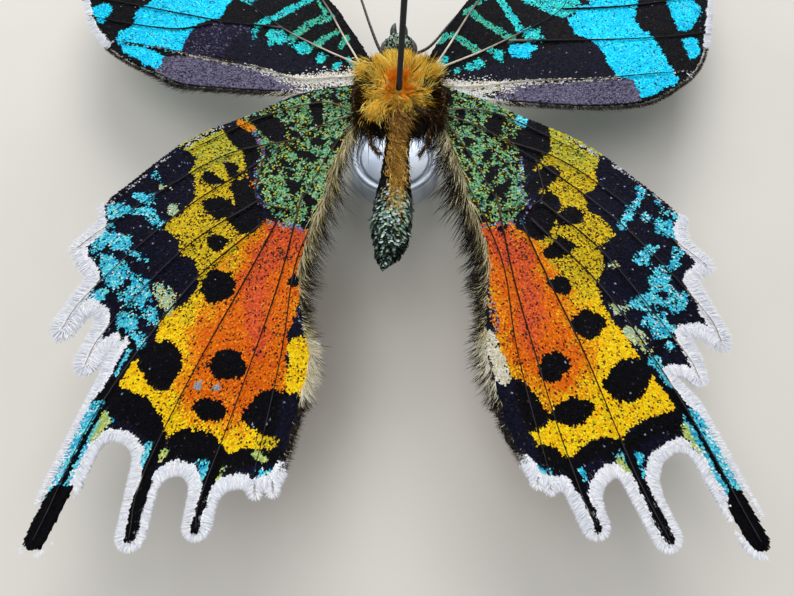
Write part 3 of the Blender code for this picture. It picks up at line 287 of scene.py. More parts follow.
# The dark cores of the teeth and tails, over the white rim
TAIL_CORES = {"left": (
    ("cyan", 0.5, ((22.2, -26.8), (22.8, -28.8))),
    ("black", 0.8, ((22.9, -29.3), (24.0, -31.3))),
    ("cyan", 1.6, ((23.7, -31.7), (24.6, -33.9), (25.7, -37.0), (26.3, -39.0))),
    ("lime", 0.6, ((23.1, -32.1), (23.1, -32.9), (23.6, -33.8))),
    ("black", 0.34, ((22.3, -30.0), (23.6, -32.2), (25.2, -36.4), (26.1, -39.4))),
    ("cyan", 0.7, ((19.2, -34.5), (19.2, -35.8))),
    ("lime", 0.5, ((17.8, -34.9), (18.2, -35.6))),
    ("black", 0.75, ((18.3, -34.0), (19.0, -36.6))),
    ("cyan", 0.7, ((14.6, -35.9), (14.5, -37.0))),
    ("lime", 0.45, ((13.2, -36.3), (13.6, -36.9))),
    ("black", 0.82, ((18.6, -35.6), (19.2, -38.6), (19.4, -41.0))),
    ("black", 0.9, ((13.4, -35.2), (14.1, -37.2))),
    ("black", 0.58, ((13.9, -36.6), (14.4, -38.9), (14.7, -40.5))),
    ("black", 0.35, ((22.9, -25.8), (23.2, -24.8))),
), "right": (
    ("cyan", 0.5, ((20.9, -28.6), (21.6, -30.2))),
    ("black", 0.8, ((21.6, -30.4), (22.6, -32.2))),
    ("cyan", 1.6, ((22.9, -32.4), (24.0, -35.0), (25.0, -37.4), (25.7, -39.2))),
    ("lime", 0.55, ((22.1, -33.0), (22.4, -33.9), (22.9, -34.8))),
    ("black", 0.34, ((20.4, -28.8), (22.0, -31.2), (23.4, -34.1), (25.5, -39.3))),
    ("cyan", 0.7, ((18.0, -35.3), (18.1, -36.6))),
    ("lime", 0.5, ((16.6, -35.6), (17.0, -36.3))),
    ("black", 0.75, ((17.3, -34.9), (18.0, -37.2))),
    ("cyan", 0.6, ((13.5, -36.4), (13.4, -37.4))),
    ("black", 0.82, ((17.7, -36.4), (18.7, -39.4), (19.3, -41.1))),
    ("black", 0.9, ((12.5, -35.8), (13.2, -37.6))),
    ("black", 0.58, ((12.9, -36.8), (13.9, -39.4), (14.2, -40.5))),
)}
# Where the warm field is orange, and where it reddens, as smooth rings
ORANGE_FIELD = {"left": (
    (11.0, -14.8), (13.0, -16.4), (13.9, -18.4), (14.4, -20.2), (14.9, -22.2), (16.2, -24.3),
    (16.9, -26.0), (17.0, -29.0), (16.6, -31.0), (15.0, -32.4), (13.4, -32.6), (11.8, -32.6),
    (9.6, -31.6), (8.4, -30.0), (8.2, -26.0), (7.6, -21.0), (6.8, -16.8), (8.6, -15.3),
), "right": (
    (8.6, -15.2), (11.0, -16.2), (12.4, -18.6), (13.4, -20.8), (14.0, -23.0), (14.8, -25.4),
    (15.0, -27.4), (14.2, -29.6), (13.0, -30.8), (11.0, -30.6), (9.6, -29.0), (8.6, -27.6), (7.4, -22.0),
    (6.4, -15.4),
)}
RED_FIELD = {"left": (
    (11.0, -15.2), (12.2, -17.2), (12.9, -19.6), (13.3, -22.0), (13.0, -24.4), (11.8, -27.6),
    (10.8, -26.4), (11.0, -22.5), (9.6, -19.0), (7.6, -17.0), (8.6, -15.6),
), "right": (
    (9.6, -15.6), (11.0, -17.4), (11.8, -19.8), (12.2, -22.0), (11.9, -24.4), (10.8, -27.0),
    (9.9, -25.6), (10.0, -22.0), (8.6, -19.0), (6.8, -17.0), (7.6, -15.6),
)}
LEMON_END = 3.0
YELLOW_END = 17.0
AMBER_DEPTH = -0.75
ORANGE_DEPTH = 0.5
RED_DEPTH = 0.1
# How the back differs: the same layout with fewer spots, greener and more coppery, after the species
BACK_NAMES = {
    "blue": "jade", "teal": "jade", "mauve": "black", "plum": "black", "silver": "black", "navy": "black",
    "cream": "umber", "green": "jade", "cyan": "teal", "lemon": "lime", "yellow": "gold", "amber": "copper",
    "orange": "copper", "pale": "lime", "violet": "blue",
}
# The black end of the long tail
HIND_CLUB = {
    "left": ((27.2, -38.6), (24.7, -37.3), (24.9, -40.6), (26.6, -42.4), (28.2, -41.0)),
    "right": ((24.5, -37.7), (26.2, -38.2), (27.9, -41.6), (26.9, -42.6), (25.0, -41.0)),
}
FORE_PATCHES = {"left": (
    ("blue", (((18.0, 15.1), (19.2, 16.5), (21.5, 17.8), (24.6, 18.4), (27.3, 17.8), (28.2, 15.2),
        (29.5, 14.0), (29.4, 12.1), (30.9, 11.0), (30.9, 9.8), (28.3, 8.8), (24.7, 7.5), (23.0, 7.2),
        (22.2, 10.8), (20.9, 11.4), (19.2, 12.0)), ((30.9, 9.6), (27.0, 7.9), (24.9, 6.4), (25.4, 4.8),
        (28.7, 7.1)), ((35.0, 15.2), (33.0, 15.4), (32.6, 13.8), (33.3, 12.5), (34.6, 13.9)))),
    ("teal", (((18.0, 15.1), (15.9, 14.9), (16.5, 12.3), (17.4, 13.4)),)),
    ("black", (((19.2, 13.0), (17.8, 14.6), (14.3, 11.3), (15.2, 10.4), (19.0, 11.2)),)),
    ("plum", (((21.9, 10.8), (19.0, 11.0), (15.6, 9.7), (15.2, 5.7), (18.8, 6.0), (23.0, 7.2)),)),
    ("navy", (((15.5, 8.9), (11.3, 6.5), (6.6, 3.6), (10.9, 3.5), (18.3, 6.0), (16.9, 9.1)),)),
    ("mauve", (((24.7, 6.5), (18.7, 5.4), (10.8, 2.5), (9.0, -0.4), (14.8, 0.2), (20.3, 1.2), (26.2, 3.6),
        (25.2, 5.2)),)),
    ("teal", (((15.8, 9.7), (14.7, 9.4), (15.3, 8.4)), ((13.9, 9.2), (12.0, 8.9), (11.7, 7.7), (13.5, 7.6)),
        ((11.2, 7.5), (9.7, 7.0), (9.3, 5.8), (11.0, 6.4)), ((8.6, 5.5), (7.5, 5.6), (7.2, 4.6), (8.1, 4.4)),
        ((6.7, 4.1), (5.8, 4.2), (6.2, 3.4)))),
), "right": (
    ("teal", (((14.0, 14.3), (16.7, 15.4), (19.6, 16.3), (20.2, 13.7), (18.0, 11.6), (16.0, 12.2),
        (14.4, 13.4)),)),
    ("blue", (((20.2, 13.7), (20.8, 16.4), (23.6, 17.6), (26.8, 17.0), (26.3, 12.0), (27.9, 9.9),
        (28.8, 6.0), (29.3, 3.7), (27.0, 2.0), (23.7, 0.8), (24.0, 2.7), (22.6, 3.7), (20.9, 7.9),
        (18.7, 9.4), (18.4, 11.6)),)),
    ("black", (((15.2, 10.0), (17.2, 11.8), (18.7, 10.0), (18.2, 8.1), (15.6, 8.4)), ((19.9, 15.3),
        (21.4, 15.5), (21.3, 13.8), (20.5, 14.0)))),
    ("blue", (((30.6, 15.4), (33.1, 16.6), (34.4, 14.6), (33.0, 12.3), (31.1, 11.5)), ((31.3, 9.9),
        (32.8, 10.1), (33.0, 8.3), (31.7, 7.2)))),
    ("navy", (((5.9, 2.6), (11.6, 5.3), (20.2, 8.2), (21.9, 5.1), (22.4, 3.6), (17.7, 2.8), (8.8, 2.2)),)),
    ("mauve", (((10.7, 1.6), (15.4, 2.4), (22.3, 3.4), (24.3, 3.3), (24.0, -0.8), (14.0, -2.0),
        (9.7, -1.2)),)),
    ("teal", (((9.4, 6.1), (10.9, 6.5), (10.7, 4.9)), ((6.7, 4.4), (8.3, 5.0), (8.6, 4.0), (7.2, 3.4)),
        ((5.3, 3.5), (6.1, 3.2), (5.5, 2.6)))),
    ("blue", (((11.5, 6.9), (13.2, 7.3), (14.6, 7.0), (12.9, 5.4), (11.7, 6.0)),)),
    ("teal", (((13.5, 9.2), (15.0, 9.7), (15.2, 8.2), (13.7, 7.9)),)),
)}
FORE_STROKES = {"left": (
    ("teal", 0.95, ((8.9, 14.0), (12.2, 11.9), (15.1, 10.1))),
    ("jade", 0.95, ((7.2, 10.6), (9.1, 10.1), (11.1, 8.3))),
    ("jade", 0.8, ((6.5, 8.6), (7.9, 7.7), (8.6, 6.9))),
    ("jade", 0.7, ((5.5, 7.7), (5.9, 6.4))),
    ("teal", 0.4, ((5.2, 4.9), (4.4, 3.3))),
    ("jade", 0.5, ((9.0, 14.1), (8.3, 12.2), (7.8, 11.4))),
), "right": (
    ("teal", 0.95, ((11.1, 13.4), (12.1, 11.2), (12.9, 9.3))),
    ("jade", 0.85, ((7.8, 11.5), (9.2, 10.0), (11.9, 8.0))),
    ("jade", 0.85, ((5.7, 8.1), (6.8, 7.3), (7.9, 6.2))),
    ("jade", 0.8, ((4.0, 7.1), (4.9, 8.0))),
    ("teal", 0.5, ((4.7, 4.8), (4.0, 3.3), (3.6, 2.1))),
    ("jade", 0.5, ((9.1, 13.7), (8.2, 12.4), (7.0, 11.2))),
    ("teal", 0.5, ((10.2, 14.3), (9.3, 13.5))),
)}
# The bands of the outer forewing, on both sides
FORE_OUTER = (
    ("jade", 0.7, ((9.6, 15.6), (11.2, 15.0), (13.0, 14.6))),
    ("teal", 0.8, ((11.2, 17.6), (13.2, 16.4), (15.2, 16.2))),
    ("teal", 0.9, ((13.6, 19.6), (15.6, 18.4), (18.0, 17.6))),
    ("blue", 2.6, ((21.0, 16.0), (20.2, 19.0), (18.4, 22.4))),
    ("blue", 1.8, ((24.8, 17.6), (24.6, 20.6), (23.6, 24.2))),
    ("teal", 1.0, ((28.6, 18.6), (28.6, 22.0), (27.6, 25.6))),
    ("blue", 0.9, ((33.0, 17.6), (33.6, 20.4), (33.2, 23.4))),
    ("teal", 0.7, ((31.4, 25.4), (31.6, 27.4))),
)

# The pale fold by the distance out: where its dense side ends, how far it reaches and how dense it is
FOLD_LINE = {"left": ((4, 12, 32), (2.4, 3.2, 10.0)), "right": ((4, 12, 32), (1.6, 2.2, 6.0))}
FOLD_REACH = ((4, 8, 12, 17, 30), (2.2, 1.7, 0.55, 0.22, 0.1))
FOLD_CHANCE = ((4, 14, 20, 31), (1.1, 0.8, 0.7, 0.3))

# The rims: where the forewing's turns from white to brown and the hindwing's gets deeper, how far in they
# are looked for, and how far the hindwing's fringe reaches past the margin by the distance forward
FORE_RIM_TURN = 9.0
HIND_RIM_TURN = -14.0
RIM_REACH = 1.3
HIND_OVERHANG = ((-42, -37, -34, -29, -27.5, -15, -13), (0.28, 0.35, 0.3, 0.25, 0.75, 0.7, 0.25))

# The hair of the hindwing's inner edge by the distance forward: the share that is pale, and the length
PALE_SHARE = ((-36, -31.5, -30.5, -26.5, -24, -18, -12, -3), (0.05, 0.1, 0.95, 0.95, 0.2, 0.5, 0.6, 0.75))
HAIR_LENGTH = ((-37, -32, -30.5, -26, -24, -19, -8, -3), (0.3, 0.35, 1.5, 1.5, 0.9, 2.6, 3.4, 2.6))
# The hair of the forewing's rear edge by the distance out: the length
REAR_LENGTH = ((4, 10, 22, 30), (0.9, 1.2, 1.3, 0.5))

# The membrane, its scales and its veins
LIE_CENTRE = {"fore": (1.0, 2.0), "hind": (1.0, 3.0)}
BARE_EDGE = 0.12
RIDGE_WIDTH = 0.22
SCALE_LIFT = 0.012
VEIN_RADIUS = {"fore": 0.12, "hind": 0.09}
VEIN_SIDES = 5
# Colours of the veins: by the field under them, over the other fields, and at the root, which ends so far
# out, over so long a fade, in this colour, with the rest of the vein dimmed to this share
VEIN_CODES = {
    "white": "#a89c8c", "green": "#5a4830", "black": "#3a3638", "navy": "#3a3638", "cyan": "#3c4448",
}
VEIN_DARK = "#2c2018"
VEIN_ROOT = {"fore": (17.0, 8.0, "#e4dac6", 0.6), "hind": (9.0, 5.0, "#8c7454", 1.0)}
ROW_SHARE = 0.866
# The coat's map: its border, and what one face of a wing takes of it for so many mm out and forward
MAP_BORDER = 0.01
FACE_SHARE = (0.47, 0.97)
FACE_SIZE = (41, 76)
FACE_REAR = 43

# The body, about its line
THORAX_CENTRE = (0.0, 1.4, 11.0)
THORAX_SIZE = (3.0, 4.2, 2.75)
THORAX_BLUNT = 2.6
# How much of its coated size a part's skin has: the thorax, then the head and the abdomen
CORE_SHARE = 0.9
SKIN_SHARE = 0.94
HEAD_CENTRE = (0.0, 7.05, 11.3)
HEAD_SIZE = (1.6, 1.3, 1.45)
NECK_RADIUS = 0.85
EYE_SIZE = (0.65, 0.88, 0.9)
EYE_PLACE = (1.25, 7.1, 11.35)
PALP = ((0.52, 8.1, 11.75), (0.56, 9.1, 12.05), (0.38, 10.0, 12.05))
PALP_RADII = (0.3, 0.36, 0.34, 0.24, 0.06)
HEAD_SCALE_COUNT = 2600
GOLDEN_TURN = math.radians(137.5)
# Loose tufts: centre, spread, the way they lie, length, colour, number of hairs, and the side or sides
TUFTS = (
    ((-2.0, -2.4, 13.2), (0.45, 0.4, 0.2), (-0.5, -1.0, 0.3), 1.3, "fur", 500, (1,)),
    ((0.0, -3.0, 12.9), (0.45, 0.7, 0.15), (0.05, -1.0, 0.12), 1.2, "tan", 700, (1,)),
    ((-0.3, -6.5, 12.7), (0.38, 2.2, 0.12), (0.1, -1.0, 0.16), 0.9, "tan", 2200, (1,)),
    ((-0.3, -8.5, 12.7), (0.42, 2.4, 0.12), (0.0, -1.0, 0.18), 0.9, "fur", 320, (1,)),
    ((3.4, 0.6, 12.2), (0.35, 1.3, 0.35), (0.7, -0.7, 0.25), 1.2, "brown", 900, (-1, 1)),
    ((2.9, -2.4, 12.2), (0.5, 0.5, 0.3), (0.35, -1.0, 0.1), 1.5, "brown", 700, (-1, 1)),
    ((0.0, -2.6, 12.4), (1.5, 0.25, 0.4), (0.0, -1.0, 0.1), 1.1, "brown", 900, (1,)),
    ((3.1, -2.0, 12.0), (0.5, 0.9, 0.3), (-0.15, -1.0, 0.0), 3.2, "hairdark", 170, (1, -1)),
    ((2.0, -2.6, 11.8), (0.6, 0.5, 0.3), (0.0, -1.0, -0.1), 2.4, "hairdark", 260, (1, -1)),
    ((3.2, 2.6, 12.6), (0.3, 0.6, 0.25), (0.9, 0.1, 0.2), 1.1, "fur", 350, (1, -1)),
)

# Stations of the abdomen: distance behind the origin, side shift, height, half width, half depth
ABDOMEN = (
    (-2.3, 0.00, 11.75, 0.80, 0.80),
    (-3.6, -0.05, 11.75, 1.00, 1.05),
    (-5.6, -0.25, 11.65, 0.95, 1.10),
    (-8.4, -0.40, 11.55, 1.15, 1.20),
    (-11.0, -0.50, 11.45, 1.60, 1.35),
    (-13.4, -0.70, 11.40, 1.75, 1.30),
    (-15.2, -0.75, 11.40, 1.40, 1.10),
    (-16.5, -1.00, 11.40, 0.95, 0.80),
)
ABDOMEN_TIP = (-1.45, -18.1, 11.45)
RING_LENGTH = 1.55
RING_DEPTH = 0.05
# Where the scales of the abdomen and of the head take over from the fur
ABDOMEN_START = -2.6
HEAD_START = 5.8
ANTENNA = {"left": (
    (-0.6, 7.2, 10.15), (-1.4, 7.5, 9.9), (-2.2, 8.9, 10.1), (-3.2, 11.9, 10.5),
    (-4.2, 15.6, 10.6), (-6.0, 21.5, 10.8), (-8.6, 28.0, 11.2),
), "right": (
    (0.6, 7.2, 10.1), (1.5, 8.2, 9.6), (3.4, 10.0, 9.1), (5.7, 13.6, 8.9),
    (7.9, 16.7, 8.9), (11.6, 21.0, 9.1), (16.6, 25.2, 9.4),
)}
ANTENNA_RADII = (0.2, 0.15, 0.13, 0.11, 0.08)
LEGS = {
    "fore": ((1.5, 3.7, 13.0), (3.2, 4.7, 12.2), (3.7, 2.6, 12.4), (3.6, 1.5, 12.5)),
    "mid": ((2.0, 0.5, 13.0), (4.1, 0.3, 12.8), (4.2, -1.7, 12.8), (3.6, -3.0, 12.8)),
    "hind": ((1.2, -1.6, 12.9), (3.0, -3.2, 12.75), (2.6, -5.6, 12.4), (1.8, -6.9, 12.3)),
}
LEG_RADII = (0.24, 0.2, 0.17, 0.12, 0.1)
LEG_JOINTS = (0.4, 0.75)

# The stand
DISC_RADIUS = 4.9
DISC_HEIGHT = 3.0
DISC_EDGE = 0.3
DISC_GROOVE = 3.9
PIN_RADIUS = 0.27
PIN_CLEAR = 0.36
PIN_LENGTH = 38.0
PIN_HEAD_RADIUS = 0.75
PIN_POINT = 2.2
PIN_LEAN = math.radians(2.4)
PIN_FOOT = 3.3

# The stage: lights with their place and size in metres and their share of the light's power, sky and camera
LIGHTS = (
    ("window", (0.02, 0.30, 0.22), 0.22, 2.6),
    ("overhead", (-0.10, -0.05, 0.30), 0.25, 0.9),
)
SKY_COLOUR = (0.95, 0.97, 1.0, 1)
SKY_STRENGTH = 0.45
CAMERA_PLACE = (0.25, -40.95, 56.73)
CAMERA_TILT = math.radians(24)
CAMERA_LENS = 27.02

# Colours of the scales: each name holds the shades that mix in its patches
SHADES = {
    "black": ("#060608", "#09090d", "#0d0d12", "#07080e"),
    "navy": ("#0d0e1c", "#101122", "#0a0b14", "#15152c"),
    "slate": ("#23304a", "#1a2136", "#8a90a8", "#10121c"),
    "lemon": ("#ccc02c", "#b8b430", "#dcd03c", "#a2a83a"),
    "yellow": ("#e0c01c", "#d0b018", "#eccc28", "#bca41c"),
    "golden": ("#ffd810", "#fcc80c", "#ffe424", "#f4b808"),
    "amber": ("#ee9a10", "#e68c0c", "#f6a81c", "#e27c0a"),
    "orange": ("#e8700c", "#e06408", "#f08014", "#d85808"),
    "red": ("#e05a28", "#d04a28", "#ea6a28", "#d4503c"),
    "copper": ("#c05a20", "#a84818", "#d07030", "#b85028"),
    "green": ("#62a066", "#4c8a64", "#84b06c", "#386a50", "#7aa45c", "#4c9c8c", "#9cb49c"),
    "cyan": ("#38c4e2", "#22b0d8", "#6ad6e2", "#2a98c4", "#84e0dc"),
    "blue": ("#04d4f2", "#02c0ee", "#28e4f8", "#0cace4"),
    "teal": ("#18c8d0", "#20b8c0", "#44dcc8", "#10a4b4"),
    "jade": ("#30b4a0", "#2ca08c", "#60bc84", "#208c84"),
    "lime": ("#b8c860", "#98b868", "#d4d888"),
    "pale": ("#c8cf8c", "#a8c49c", "#dcdcb0", "#8fb8a0"),
    "cream": ("#e0d8bc", "#ece6d4", "#cfc6a4"),
    "white": ("#eef0f6", "#e2e6f0", "#f8f8fa"),
    "violet": ("#8a5aa0", "#5a78b8", "#a05a90", "#4a4a8c"),
    "gold": ("#d8a818", "#c09428", "#a88a30"),
    "silver": ("#c8ccd0", "#a8a8b0", "#dcdcdc"),
    "plum": ("#1c1830", "#141220", "#282444"),
    "mauve": ("#706a84", "#5e5a74", "#827e94", "#504c68"),
    "umber": ("#3a2c20", "#2a2018", "#4c3a28"),
    "scar": ("#a8acb0", "#90949a"),
    "fur": ("#ffe468", "#ffd048", "#fff088", "#ffbc30"),
    "furdeep": ("#ff9c1c", "#f88810", "#ffb030"),
    "brown": ("#3a2410", "#2a1a0c", "#5a3a18", "#1c120a"),
    "tan": ("#cc9a4c", "#b08038", "#e4b868", "#7c5828"),
    "hairpale": ("#f0e4b8", "#e4d4a0", "#d8cc98", "#c8b878", "#e8e0c0", "#8c8058"),
    "hairdark": ("#1a1614", "#2a2420", "#0c0a0a", "#4a4238"),
    "scaleblk": ("#15181a", "#1e2420", "#0e1012", "#2c3a34"),
    "lichen": ("#9cbea4", "#c8dcc0", "#7ca094", "#2c403c", "#d8e8e8"),
}
METALLIC = {
    "cyan": 0.4, "blue": 0.4, "teal": 0.4, "jade": 0.4, "green": 0.35, "lime": 0.2, "black": 0.3, "navy": 0.3,
    "slate": 0.3, "plum": 0.3, "copper": 0.4, "gold": 0.3,
}
# How ragged the edges of a colour's patches are
RAGGED = {"cyan": 1.9, "blue": 1.2, "teal": 1.5, "jade": 1.5, "pale": 1.8, "green": 1.2}
# Scattered scales: the field, how many of its scales differ, how far they gather and what they are
SPECKLES = (
    ("lemon", 0.26, 0.5, ("black", "umber", "umber", "golden", "green")),
    ("yellow", 0.32, 0.5, ("black", "umber", "umber", "golden")),
    ("golden", 0.20, 0.4, ("black", "umber", "amber", "yellow")),
    ("amber", 0.20, 0.4, ("black", "umber", "golden", "orange")),
    ("orange", 0.18, 0.3, ("black", "umber", "amber", "red")),
    ("red", 0.2, 0.3, ("black", "umber", "orange", "umber")),
    ("silver", 0.6, 0.4, ("black", "navy", "black")),
    ("green", 0.58, 0.7, ("black", "black", "black", "navy", "black", "black", "lemon")),
    ("cyan", 0.24, 0.8, ("black", "navy", "black", "white", "teal")),
    ("blue", 0.13, 0.5, ("navy", "cyan", "black", "cyan", "cyan")),
    ("teal", 0.28, 1.0, ("black", "jade", "cyan", "navy")),
    ("jade", 0.30, 1.0, ("black", "green", "teal", "black")),
    ("pale", 0.35, 1.0, ("black", "cyan", "cream", "yellow")),
    ("black", 0.025, 0.3, ("slate", "umber", "plum")),
    ("navy", 0.05, 0.3, ("slate", "umber", "black")),
    ("mauve", 0.16, 0.3, ("plum", "navy", "umber")),
    ("plum", 0.25, 0.5, ("navy", "black", "mauve")),
    ("cream", 0.15, 0.3, ("white", "umber", "silver")),
    ("copper", 0.2, 0.4, ("red", "umber", "gold")),
    ("violet", 0.4, 0.8, ("black", "cyan", "red", "green")),
)


def srgb(code):
    """A colour code as linear light."""
    parts = [int(code[i:i + 2], 16) / 255 for i in (1, 3, 5)]
    return [p / 12.92 if p <= 0.04045 else ((p + 0.055) / 1.055) ** 2.4 for p in parts]


def smooth_line(points, step):
    """A Catmull-Rom line through the points, with a point about every step."""
    points = [Vector(p) for p in points]
    line = [points[0]]
    ends = [2 * points[0] - points[1]] + points + [2 * points[-1] - points[-2]]
    for a, b, c, d in zip(ends, ends[1:], ends[2:], ends[3:]):
        count = max(1, round((c - b).length / step))
        for i in range(1, count + 1):
            t = i / count
            bend = (2 * a - 5 * b + 4 * c - d) * t**2 + (3 * b - a - 3 * c + d) * t**3
            line.append(0.5 * (2 * b + (c - a) * t + bend))
    return line


def resample(line, step):
    """Points about every step along an open line, its ends kept."""
    line = np.array([tuple(p) for p in line])
    run = np.concatenate([[0], np.cumsum(np.linalg.norm(np.diff(line, axis=0), axis=1))])
    want = np.linspace(0, run[-1], max(1, round(run[-1] / step)) + 1)
    return np.stack([np.interp(want, run, line[:, k]) for k in range(line.shape[1])], axis=1)


def tail_outline(before, root, tip, half_width, after):
    """The edge of one tooth or tail, from the notch before it round its tip and on to the next."""
    tip = Vector(tip)
    along = (tip - Vector(root)).normalized()
    aside = Vector((-along.y, along.x))
    edge = []
    for notch, side in ((Vector(before), 1), (Vector(after), -1)):
        away = notch - tip
        depth = -away.dot(along)
        arch = side * away.dot(aside) - half_width
        drop = arch if arch > 0 else -SLANT * arch
        drop = min(drop, max(depth - 1.2 * half_width, 0.1 * depth))
        curve = []
        for turn in (90, 60, 30, 0):
            a = math.radians(turn)
            down, across = (1 - math.sin(a), 1 - math.cos(a)) if arch > 0 else (1 - turn / 90, turn / 90)
            point = tip - along * (depth - drop * down)
            curve.append(point + aside * (side * (half_width + arch * across)))
        for turn in (15, 45, 75):
            a = math.radians(turn)
            back = half_width * (1 - math.sin(a))
            curve.append(tip - along * back + aside * (side * half_width * math.cos(a)))
        edge.append(curve[::side])
    return edge[0] + edge[1][:-1]


def hind_edges(side):
    """The hindwing's three edges in order: the costa, the fringed margin with its tails, the inner edge."""
    costa = smooth_line((HIND_ROOT[0],) + HIND_COSTA[side], EDGE_STEP)
    margin = [costa[-1]]
    before = HIND_COSTA[side][-1]
    for root, tip, half_width, notch in HIND_TAILS[side]:
        margin += tail_outline(before, root, tip, half_width, notch)
        before = notch
    inner = smooth_line(HIND_INNER[side] + (HIND_ROOT[1],), EDGE_STEP)
    return costa, margin + [inner[0]], inner


def fore_edges(side):
    """The forewing's edges: the costa, the fringed margin to the rear corner, and the closing root."""
    costa = smooth_line((FORE_ROOT[0],) + FORE_COSTA + (FORE_APEX,), EDGE_STEP)
    margin = smooth_line((FORE_APEX,) + FORE_MARGIN + FORE_TORNUS[side] + (FORE_ROOT[1],), EDGE_STEP)
    return costa, margin, [margin[-1], costa[0]]


def hind_veins(side):
    """The hindwing's veins: two edges and the end of its cell, shoulder, inner vein and one for each tail."""
    stem = Vector(HIND_STEM)
    costa = [Vector(p) for p in HIND_COSTA[side]]
    shoulder = [stem] + [costa[i] + Vector(shift) for i, shift in SHOULDER_VEIN]
    anal = [stem, *ANAL_VEIN, HIND_TAILS[side][6][0]]
    cell_end = [CELL_FRONT[1], CELL_MIDDLE, CELL_REAR[1]]
    routes = [[stem, *CELL_FRONT], [stem, *CELL_REAR], cell_end, shoulder, anal]
    for row, like, (start, middle) in zip(HIND_TAILS[side], HIND_TAILS["left"], TAIL_VEINS):
        root, tip, half_width, _ = row
        shift = (Vector(root) - Vector(like[0])) / 2
        end = Vector(tip).lerp(Vector(root), 0.8 * half_width / (Vector(tip) - Vector(root)).length)
        routes.append([start, Vector(middle) + shift, Vector(root), end])
    return [smooth_line(route, VEIN_STEP) for route in routes]


def fore_veins(side):
    return [smooth_line(route, VEIN_STEP) for route in FORE_ROUTES[side]]


def as_array(line):
    """The points of a line as rows of numbers."""
    return np.array([tuple(p) for p in line], float)


def route_distance(points, route):
    """How far each point is from a smooth line along a route."""
    return distance(points, as_array(smooth_line(route, STROKE_STEP)))[0]


def unit(vectors):
    """The vectors made a unit long."""
    return vectors / np.maximum(np.linalg.norm(vectors, axis=1), 1e-9)[:, None]


def square_to(lies, ways):
    """The ways turned square to the lies, each a unit long."""
    return unit(ways - lies * np.sum(ways * lies, axis=1)[:, None])


def distance(points, line, closed=False):
    """How far each point is from a line, and the number of the stretch that is nearest."""
    line = np.asarray(line, float)
    ends = np.roll(line, -1, axis=0) if closed else line[1:]
    starts = line if closed else line[:-1]
    best = np.full(len(points), 1e9)
    nearest = np.zeros(len(points), int)
    for i, (a, b) in enumerate(zip(starts, ends)):
        along = b - a
        share = np.clip((points - a) @ along / max(along @ along, 1e-12), 0, 1)
        away = np.linalg.norm(points - a - share[:, None] * along, axis=1)
        closer = away < best
        best[closer] = away[closer]
        nearest[closer] = i
    return best, nearest


def inside(points, loop):
    """Which points lie inside a closed loop."""
    found = np.zeros(len(points), bool)
    x, y = points[:, 0], points[:, 1]
    for a, b in zip(loop, np.roll(loop, -1, axis=0)):
        if a[1] != b[1]:
            crosses = (a[1] > y) != (b[1] > y)
            found ^= crosses & (x < a[0] + (y - a[1]) * (b[0] - a[0]) / (b[1] - a[1]))
    return found


def camber(out, forward):
    """The height of the sheet over its plane: a soft arch out from the root and shallow waves."""
    return 0.35 * np.sin(np.pi * np.minimum(out, 40) / 40) + 0.12 * np.sin(0.5 * forward + 0.2 * out)


def place(flat, side, level, height=0.0):
    """Points of a wing's plane on the standing specimen, in millimetres."""
    sign = -1 if side == "left" else 1
    out, forward = flat[:, 0], flat[:, 1]
    beyond = out - 3.0
    x = sign * (3.0 + beyond * math.cos(DIHEDRAL)) + BODY_X
    z = level + beyond * math.sin(DIHEDRAL) + camber(out, forward) + height
    return np.stack([x, WING_ORIGIN_Y + forward, z], axis=1)


def value_noise(points, cell, salt):
    """Smooth noise from 0 to 1 with features about one cell across."""
    at = points / cell + 400.0
    low = np.floor(at)
    part = at - low
    part = part * part * (3 - 2 * part)
    total = 0
    for dx in (0, 1):
        for dy in (0, 1):
            seed = np.sin((low[:, 0] + dx) * 127.1 + (low[:, 1] + dy) * 311.7 + salt * 74.7) * 43758.5453
            weight = np.abs(1 - dx - part[:, 0]) * np.abs(1 - dy - part[:, 1])
            total = total + (seed - np.floor(seed)) * weight
    return total


def add_colour(mesh, name, colours):
    """Stores one colour a point."""
    rgba = np.ones((len(mesh.vertices), 4), np.float32)
    rgba[:, :3] = colours
    mesh.attributes.new(name, "FLOAT_COLOR", "POINT").data.foreach_set("color", rgba.ravel())


def add_numbers(mesh, name, values, kind="FLOAT"):
    """Stores one number or vector a point."""
    field = {"FLOAT": "value", "FLOAT_VECTOR": "vector", "FLOAT2": "vector"}[kind]
    data = mesh.attributes.new(name, kind, "POINT").data
    data.foreach_set(field, np.ascontiguousarray(values, np.float32).ravel())


def linked(name, data):
    """A new object with the data, linked to the scene."""
    obj = bpy.data.objects.new(name, data)
    bpy.context.scene.collection.objects.link(obj)
    return obj


def evaluated_mesh(obj):
    """The object's mesh with its modifiers applied, as a mesh of its own."""
    bpy.context.view_layer.update()
    graph = bpy.context.evaluated_depsgraph_get()
    return bpy.data.meshes.new_from_object(obj.evaluated_get(graph))


def finished(obj, *nodes, slot=None):
    """A finished piece rides on the body and stands for its nodes; its slot is not used."""
    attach(obj, BODY)
    if nodes:
        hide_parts(*nodes)


def feed(tree, node, inputs):
    """Gives each input of a node its value, or links it to the output that is given for it."""
    for key, given in inputs.items():
        if isinstance(given, bpy.types.NodeSocket):
            tree.links.new(given, node.inputs[key])
        else:
            node.inputs[key].default_value = given
    return node


def new_material(name):
    """A material with its node tree and its shader."""
    made = bpy.data.materials.new(name)
    made.use_nodes = True
    return made, made.node_tree, made.node_tree.nodes["Principled BSDF"]


